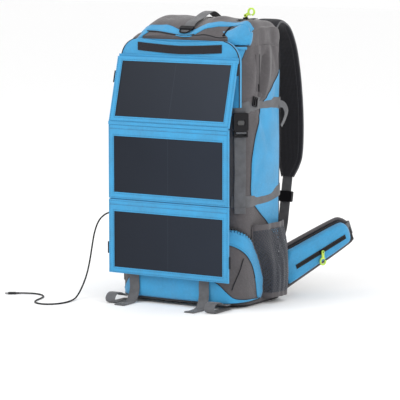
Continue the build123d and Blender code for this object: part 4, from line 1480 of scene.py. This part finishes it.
def border_puff(x, z, window, length):
    """Height of the cover's cloth: it fills out between its sewn lines."""
    left, right, bottom, top = window
    inner = max(left - x, x - right, bottom - z, z - top)
    outer = min(x + SHEET_HALF, SHEET_HALF - x, -z, z + length)
    nearest = min(abs(inner - SEWN_IN), abs(outer - SEWN_IN), inner + 1.5, outer + 0.6)
    return 0.75 * clamp(nearest / 3) + 0.22 * ripple(x / 14, z / 14, length)


def cover_grid(index):
    """Columns and rows of a cover's cloth, with one at each edge and sewn line."""
    length, above = PANELS[index]
    left, right, bottom, top = panel_window(index)
    low, high = FOLD_GAP - length, -FOLD_GAP
    hem = [high - SEWN_IN, high] if above > BANDED else [high]
    xs = spread([-SHEET_HALF, SEWN_IN - SHEET_HALF, left - SEWN_IN, left, right, right + SEWN_IN,
                 SHEET_HALF - SEWN_IN, SHEET_HALF], CLOTH_STEP)
    zs = spread([low, low + SEWN_IN, bottom - SEWN_IN, bottom, top, top + SEWN_IN] + hem, CLOTH_STEP)
    return xs, zs


def cover_faces(xs, zs, window):
    """Faces of a cover, each a list of (layer, column, row) corners."""
    left, right, bottom, top = window
    last_i, last_j = len(xs) - 1, len(zs) - 1
    faces = []

    def in_window(i, j):
        x, z = (xs[i] + xs[i + 1]) / 2, (zs[j] + zs[j + 1]) / 2
        return left < x < right and bottom < z < top

    def side(first, second, a, b):
        faces.append([(first, *a), (second, *a), (second, *b), (first, *b)])
    for i in range(last_i):
        for j in range(last_j):
            square = ((i, j), (i + 1, j), (i + 1, j + 1), (i, j + 1))
            faces.append([("back", *at) for at in reversed(square)])
            if not in_window(i, j):
                faces.append([("front", *at) for at in square])
                continue
            beyond = ((i, j - 1), (i + 1, j), (i, j + 1), (i - 1, j))
            for a, b, neighbour in zip(square, square[1:] + square[:1], beyond):
                if not in_window(*neighbour):
                    faces.append([("front", *b), ("front", *a), ("lip", *a), ("lip", *b)])
    for i in range(last_i):
        side("front", "back", (i, 0), (i + 1, 0))
        side("back", "front", (i, last_j), (i + 1, last_j))
    for j in range(last_j):
        side("back", "front", (0, j), (0, j + 1))
        side("front", "back", (last_i, j), (last_i, j + 1))
    return faces


def make_cover(index):
    """Cloth cover of one panel: a front with a window, a turned lip, sides and a back."""
    xs, zs = cover_grid(index)
    window = panel_window(index)
    vertices, faces, uvs, found = [], [], [], {}

    def cover_point(layer, i, j):
        x, z = xs[i], zs[j]
        if layer == "lip":
            return Vector((x, 0.85 - SHEET_THICK, z))
        if layer == "back":
            return Vector((x, -0.3 - abs(0.5 * ripple(x / 40, z / 30, 9.0 + index)), z))
        edge = i in (0, len(xs) - 1) or j in (0, len(zs) - 1)
        rise = -0.6 if edge else border_puff(x, z, window, PANELS[index][0])
        return Vector((x, 0.5 - SHEET_THICK - rise, z))
    for corners in cover_faces(xs, zs, window):
        for corner in corners:
            local = cover_point(*corner)
            if corner not in found:
                found[corner] = len(vertices)
                vertices.append(PANEL_PLACES[index] @ local)
            uvs.append((local.x * MM, (local.z + local.y) * MM))
        faces.append(tuple(found[corner] for corner in corners))
    cover = build(f"panel_cover_{index + 1}", vertices, faces, uvs, "fabric_blue", sharp=70)
    piece(cover, f"panel_{index + 1}", "fabric_blue", f"solar_cover_{index + 1}")


def even_points(corners, step):
    path = []
    for (x0, z0), (x1, z1) in zip(corners, corners[1:]):
        count = max(1, round(math.hypot(x1 - x0, z1 - z0) / step))
        path += [(x0 + (x1 - x0) * k / count, z0 + (z1 - z0) * k / count) for k in range(count)]
    return path + [corners[-1]]


def sew_panel(index):
    """Sewn lines on one panel: round the window, down both sides, and across the hems."""
    length, above = PANELS[index]
    number = index + 1
    body = f"panel_{number}"
    left, right, bottom, top = panel_window(index)

    def on_cover(points, sunk=0.0):
        return [PANEL_PLACES[index] @ Vector((x, sunk - SHEET_THICK, z)) for x, z in points]

    def line(name, corners):
        path = on_cover(even_points(corners, 4), -0.1)
        seam(f"{name}_{number}", path, "stitch_and_crease_shade_blue", body=body, radius=0.42)

    def line_across(name, z):
        line(name, [(4 - SHEET_HALF, z), (SHEET_HALF - 4, z)])
    west, east, south, north = left - SEWN_IN, right + SEWN_IN, bottom - SEWN_IN, top + SEWN_IN
    line("window_stitches", [(west, south), (east, south), (east, north), (west, north),
                             (west, south)])
    for label, x in (("left", SEWN_IN - SHEET_HALF), ("right", SHEET_HALF - SEWN_IN)):
        line(f"side_stitches_{label}", [(x, 2 - length), (x, -2)])
    line_across("hem_stitches", 4 - length)
    if above > BANDED:
        line_across("fold_stitches", -4)
        line_across("band_stitches", -10.5)
        # painted shade: a thin darker blue tube along the band's fold stands for the shade in its
        # crease
        crease_shade = on_cover([(x, -12.4) for x in (-149, -50, 50, 149)], 0.15)
        piping(f"band_crease_shade_{number}", crease_shade, 0.7, "stitch_and_crease_shade_blue", "fabric_blue", body, 12, 6)
    for label, x in (("left", left), ("right", right)):
        rim = on_cover([(x, bottom), (x, top)], 0.2)
        piping(f"window_rim_{label}_{number}", rim, 0.45, "dark_trim_and_shade", "fabric_blue", body, 20, 6)


def make_joining_strip(name, middle_y, middle_z, reach=3.2, thick=0.7):
    """Cloth hinge sewn over the gap between two panels."""
    edge = SHEET_HALF - 0.5
    front = [(-edge, 0), (-60, -0.1), (60, -0.1), (edge, 0)]
    back = [(x, thick) for x, _ in reversed(front)]
    rows = [[Vector((x, middle_y + out, middle_z + reach * (1 - k / 4))) for x, out in front + back]
            for k in range(9)]
    strip = loft(name, rows, "fabric_blue")
    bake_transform(strip)


def make_tabs():
    """Black webbing tabs that stand out beside the panels, for tying the sheet down."""
    for number, side, drop in ((1, "left", 46), (1, "right", 20), (3, "left", 108), (3, "right", 118)):
        sign = 1 if side == "right" else -1
        place = PANEL_PLACES[number - 1]
        edge = sign * (SHEET_HALF - 1)
        tab = [place @ Vector((edge + sign * out, y, -drop))
               for out, y in ((-3, -1.6), (3, -1.4), (5.5, -1.8))]
        strap(f"sheet_tab_{side}_{number}", tab, place.to_3x3() @ UP, 26, "dark_trim_and_shade", 1.4, 2,
              f"panel_{number}")


for index in range(len(PANELS)):
    make_cover(index)
    sew_panel(index)
make_joining_strip("fold_strip_1", FOLD_1.y - SHEET_THICK - 0.9, FOLD_1.z)
make_joining_strip("fold_strip_2", FOLD_2.y + 0.2, FOLD_2.z)
make_joining_strip("seam_strip", SHEET_TOP.y + 0.1, SHEET_TOP.z, reach=5.0)
make_tabs()


# --- back pad, handle and shoulder straps -------------------------------------------------
PAD_LOW, PAD_HIGH = box_mm("back_pad")
PAD_CORNER = 24.0
PAD_MAIN_FACE = HALF_DEPTH + 18
LUMBAR_TOP = 172.0
CHANNEL_DEPTH = 8.5
PAD_HEIGHTS = spread([PAD_LOW.z + 0.3, PAD_HIGH.z - 0.3], 6.5)


def pad_half(z):
    edge = max(PAD_CORNER - min(z - PAD_LOW.z, PAD_HIGH.z - z), 0)
    return PAD_HIGH.x - PAD_CORNER + math.sqrt(PAD_CORNER**2 - edge**2)


def pad_face(x, z):
    """y of the wearer's side of the back pad: foam blocks between pressed channels."""
    lumbar = 1 / (1 + math.exp((z - LUMBAR_TOP) / 5))
    depth = PAD_MAIN_FACE + (PAD_HIGH.y - PAD_MAIN_FACE) * lumbar - HALF_DEPTH - 1
    rounding = clamp(min(pad_half(z) - abs(x), PAD_HIGH.z - z, z - PAD_LOW.z) / 14)
    channels = [bell(x, middle, 6) * (1 - lumbar) for middle in (-44, 44)]
    channels += [bell(z, height, 6) for height in (250, 345, 440)]
    channel = max(channels + [bell(z, 182, 7), bell(x, 0, 7) * lumbar])
    return HALF_DEPTH + 1 + depth * eased(rounding) - CHANNEL_DEPTH * channel * rounding


def make_back_pad():
    rings = []
    for z in PAD_HEIGHTS:
        xs = [pad_half(z) * k / 20 for k in range(-20, 21)]
        face = [Vector((x, pad_face(x, z), z)) for x in xs]
        rings.append(face + [Vector((x, HALF_DEPTH + 0.4, z)) for x in reversed(xs[::4])])
    pad = loft("back_cushion", rings, "padding")
    inflate(pad, 4.0, 3.0, lambda p: p.y < HALF_DEPTH + 9 or p.z > 548)
    piece(smoother(pad), "pack", "padding", "back_pad")
    for side, sign in SIDES:
        line = [(sign * pad_half(z), HALF_DEPTH + 2.2, z) for z in PAD_HEIGHTS]
        piping(f"pad_binding_{side}", line, 2.0, "webbing", "webbing")
    yoke = [(x, PAD_MAIN_FACE + 1.2, 500) for x in range(-112, 113, 14)]
    strap("harness_yoke", yoke, UP, 30, "fabric_grey", 2.4, 0, slot="fabric_grey")


def make_handle():
    low, high = box_mm("haul_handle")
    y, width = (low.y + high.y) / 2, high.y - low.y
    half = [(36.5, y, low.z + 0.5), (36, y, 574), (26, y, 589), (10, y, 595.5)]
    path = [(-x, y, z) for x, y, z in half] + half[::-1]
    strap("carry_handle", path, REARWARD, width, thick=2.6, step=3, nodes=["haul_handle"])
    strap("carry_handle_grip", path[2:6], REARWARD, width + 2.4, "dark_trim_and_shade", 5.2, 3, slot="padding")


STRAP_X = sum(corner.x for corner in box_mm("shoulder_strap_right")) / 2
STRAP_PATH = [(110.5, 500), (110.5, 566), (127, 596), (146, 602), (178, 587), (205, 548), (222, 498),
              (233, 440), (239, 380), (239, 322), (233, 280), (224, 250)]
STRAP_HALF = 31.0
STRAP_WIDTH = curve_value([(0, 0.86), (0.1, 1.0), (0.5, 1.0), (0.86, 1.0), (0.94, 0.86), (1, 0.5)])
# (y, z) down the webbing below the strap: straight through the ladder lock, then to its anchor
WEBBING_PATH = [(224 + (z - 248) * 0.1957, z) for z in (262, 240, 220, 200, 180, 162, 150)]
WEBBING_PATH += [(196, 127), (178, 108), (150, 96), (119, 88)]


def make_shoulder_strap(side, sign):
    """Foam strap under air mesh, with bound edges and two sewn channels."""
    path = smooth_path([(sign * STRAP_X, y, z) for y, z in STRAP_PATH], 7)
    lengths = running_lengths(path)
    halves = [STRAP_HALF * STRAP_WIDTH(run / lengths[-1]) for run in lengths]
    outs = [ACROSS.cross(along) for along in tangents(path)]
    rows = [ring_around(point, ACROSS, out, half - 0.8, 6.2, 28, 3.2)
            for point, out, half in zip(path, outs, halves)]
    foam = loft(f"harness_strap_{side}", rows, "padding")

    def sewn(p):
        near = min(range(0, len(path), 2), key=lambda k: (path[k] - p).length)
        return abs(p.x - sign * STRAP_X) > halves[near] - 9 or near < 14
    inflate(foam, 4.0, 2.2, sewn)
    piece(smoother(foam), "pack", "padding", f"shoulder_strap_{side}")
    ends = (("inner", -1), ("outer", 1))
    for label, end in ends:
        edge = [point + ACROSS * end * (half - 0.8) for point, half in zip(path, halves)]
        piping(f"harness_binding_{label}_{side}", edge, 1.9, "webbing", "webbing")
    for label, end in ends:
        channel = [point + ACROSS * end * (half - 8) - out * 6.5
                   for point, out, half in zip(path, outs, halves)]
        seam(f"harness_stitches_{label}_{side}", channel[16:], "webbing", "webbing")
    web = [(sign * STRAP_X, y, z) for y, z in WEBBING_PATH]
    strap(f"harness_webbing_{side}", web, ACROSS, step=5, nodes=[f"shoulder_webbing_{side}"])
    centre = Vector((sign * STRAP_X, 0, 0))
    front = [centre + Vector(p) for p in
             ((-22 * sign, 119.5, 64), (22 * sign, 119.5, 64), (12, 121.5, 108), (-12, 121.5, 108))]
    back = [p - REARWARD * 2.0 for p in front]
    piece(loft(f"harness_anchor_{side}", [back, front], "fabric_grey", sharp=30),
          "pack", "fabric_grey")


# --- hip belt -----------------------------------------------------------------------------
FIN_ROOT = Vector((125, 112, 52))
FIN_TIP = Vector((198, 300, 132))
FIN_LENGTH = (FIN_TIP - FIN_ROOT).length
FIN_ALONG = (FIN_TIP - FIN_ROOT).normalized()
FIN_OUT = FIN_ALONG.cross(UP).normalized()
FIN_UP = FIN_OUT.cross(FIN_ALONG)
FIN_LOW_EDGE = curve_value([(-6, -44), (FIN_LENGTH - 6, -31), (FIN_LENGTH + 5, -14)])
FIN_HIGH_EDGE = curve_value([(-6, -36), (12, 10), (30, 43), (60, 44), (FIN_LENGTH - 40, 38),
                             (FIN_LENGTH - 14, 31), (FIN_LENGTH + 5, 10)])
FIN_HALF_THICK = 7.0
HIP_POCKET_FACE = 23.0
HIP_POCKET_START, HIP_POCKET_END = 10, FIN_LENGTH - 9
HIP_ZIPS = (("front", 38, 105), ("rear", 119, 186))


def fin(sign, x, y, out):
    """A point on a hip wing: x along it, y up it, out of the wearer's side."""
    return mirror(sign, FIN_ROOT + FIN_ALONG * x + FIN_UP * y + FIN_OUT * out)


def fin_loop(sign, stops, edges, out):
    """A closed line on a wing, along the first of two edges and back along the second."""
    loop = [fin(sign, x, edges(x)[0], out) for x in stops]
    loop += [fin(sign, x, edges(x)[1], out) for x in reversed(stops)]
    return loop + loop[:1]


def wing_edges(x):
    return FIN_LOW_EDGE(x), FIN_HIGH_EDGE(x)


def hip_pocket_edges(x):
    near_end = max(0, (x - HIP_POCKET_END + 15) / 15.5)
    round_off = 13 * (1 - math.sqrt(1 - near_end**2))
    return max(FIN_LOW_EDGE(x) + 7, -36) + round_off, FIN_HIGH_EDGE(x) - 6.5 - round_off


def make_hip_cushion(side, sign):
    """Foam wing with a bound edge; it stays sewn down at its root."""
    body = f"hip_{side}"
    up, out = mirror(sign, FIN_UP), mirror(sign, FIN_OUT)
    stops = spread([-5, FIN_LENGTH + 4], 6)
    rows = []
    for x in stops:
        low, high = wing_edges(x)
        rows.append(ring_around(fin(sign, x, (low + high) / 2, 0), up, out, (high - low) / 2,
                                FIN_HALF_THICK - 0.6, 28, 3.0))
    wing = loft(f"hip_cushion_{side}", rows, "padding")
    inflate(wing, 3.0, 1.6, lambda p: (mirror(sign, p) - FIN_ROOT).dot(FIN_ALONG) < 8)
    piece(wing, body, "padding", f"hip_wing_{side}")
    rim = fin_loop(sign, stops, wing_edges, 0)
    piping(f"hip_binding_{side}", rim, 3.6, "fabric_grey", "fabric_grey", body)


def hip_pocket_ring(sign, x):
    low, high = hip_pocket_edges(x)
    half, middle = (high - low) / 2, (high + low) / 2
    ends = min(1, (x - HIP_POCKET_START + 4) / 30, (HIP_POCKET_END + 2 - x) / 16)
    depth = (HIP_POCKET_FACE - FIN_HALF_THICK) * (0.2 + 0.8 * eased(ends))
    ring = []
    for k in range(25):
        y = half * (k / 12 - 1)
        edge = min(1, (half - abs(y)) / 9)
        fold = ripple(x / 26, y / 12, 3.0 + sign) * 1.3
        at_zip = abs(y + middle + 3) < 9
        rise = depth * eased(edge) * 0.985 + (min(fold, 0.0) if at_zip else fold * edge)
        ring.append(fin(sign, x, y + middle, FIN_HALF_THICK + max(rise, 0.3)))
    return ring + [fin(sign, x, half * (1 - k / 4) + middle, FIN_HALF_THICK - 0.5)
                   for k in range(1, 8)]


def make_hip_pocket(side, sign):
    """Zipped pocket on the wing's outer face, with piping round it."""
    body = f"hip_{side}"
    ends = [HIP_POCKET_START, HIP_POCKET_END]
    rows = [hip_pocket_ring(sign, x) for x in spread(ends, 6)]
    pocket = loft(f"hip_pocket_cover_{side}", rows, "fabric_blue")
    piece(smoother(pocket), body, "fabric_blue", f"hip_pocket_{side}")
    hem = fin_loop(sign, spread(ends, 8), lambda x: hip_pocket_edges(x)[::-1],
                   FIN_HALF_THICK + 0.8)
    piping(f"hip_pocket_piping_{side}", hem, 1.2, body=body)
    for label, start, end in HIP_ZIPS:
        points = [fin(sign, x, -3, HIP_POCKET_FACE + 1.35) for x in (start, end)]
        teeth(f"hip_zip_teeth_{label}_{side}", body, *points, mirror(sign, FIN_UP),
              mirror(sign, FIN_OUT))


def make_hip_webbing(side, sign):
    body = f"hip_{side}"
    up = mirror(sign, FIN_UP)
    stops = (58, 90, 130, 170, FIN_LENGTH - 10)
    inner = [fin(sign, x, -25.5, -FIN_HALF_THICK - 2.2) for x in stops]
    strap(f"hip_belt_webbing_{side}", inner, up, body=body, nodes=[f"hip_webbing_{side}"])
    tip = [fin(sign, FIN_LENGTH + past, y, out) for past, y, out in
           ((-20, 1, 7.6), (-6, 1, 7.2), (8, 0, 2.2), (8, 0, -5), (-8, -1, -8.2))]
    strap(f"hip_tip_webbing_{side}", tip, up, 30, step=3, body=body)


make_back_pad()
make_handle()
for side, sign in SIDES:
    make_shoulder_strap(side, sign)
    make_hip_cushion(side, sign)
    make_hip_pocket(side, sign)
    make_hip_webbing(side, sign)
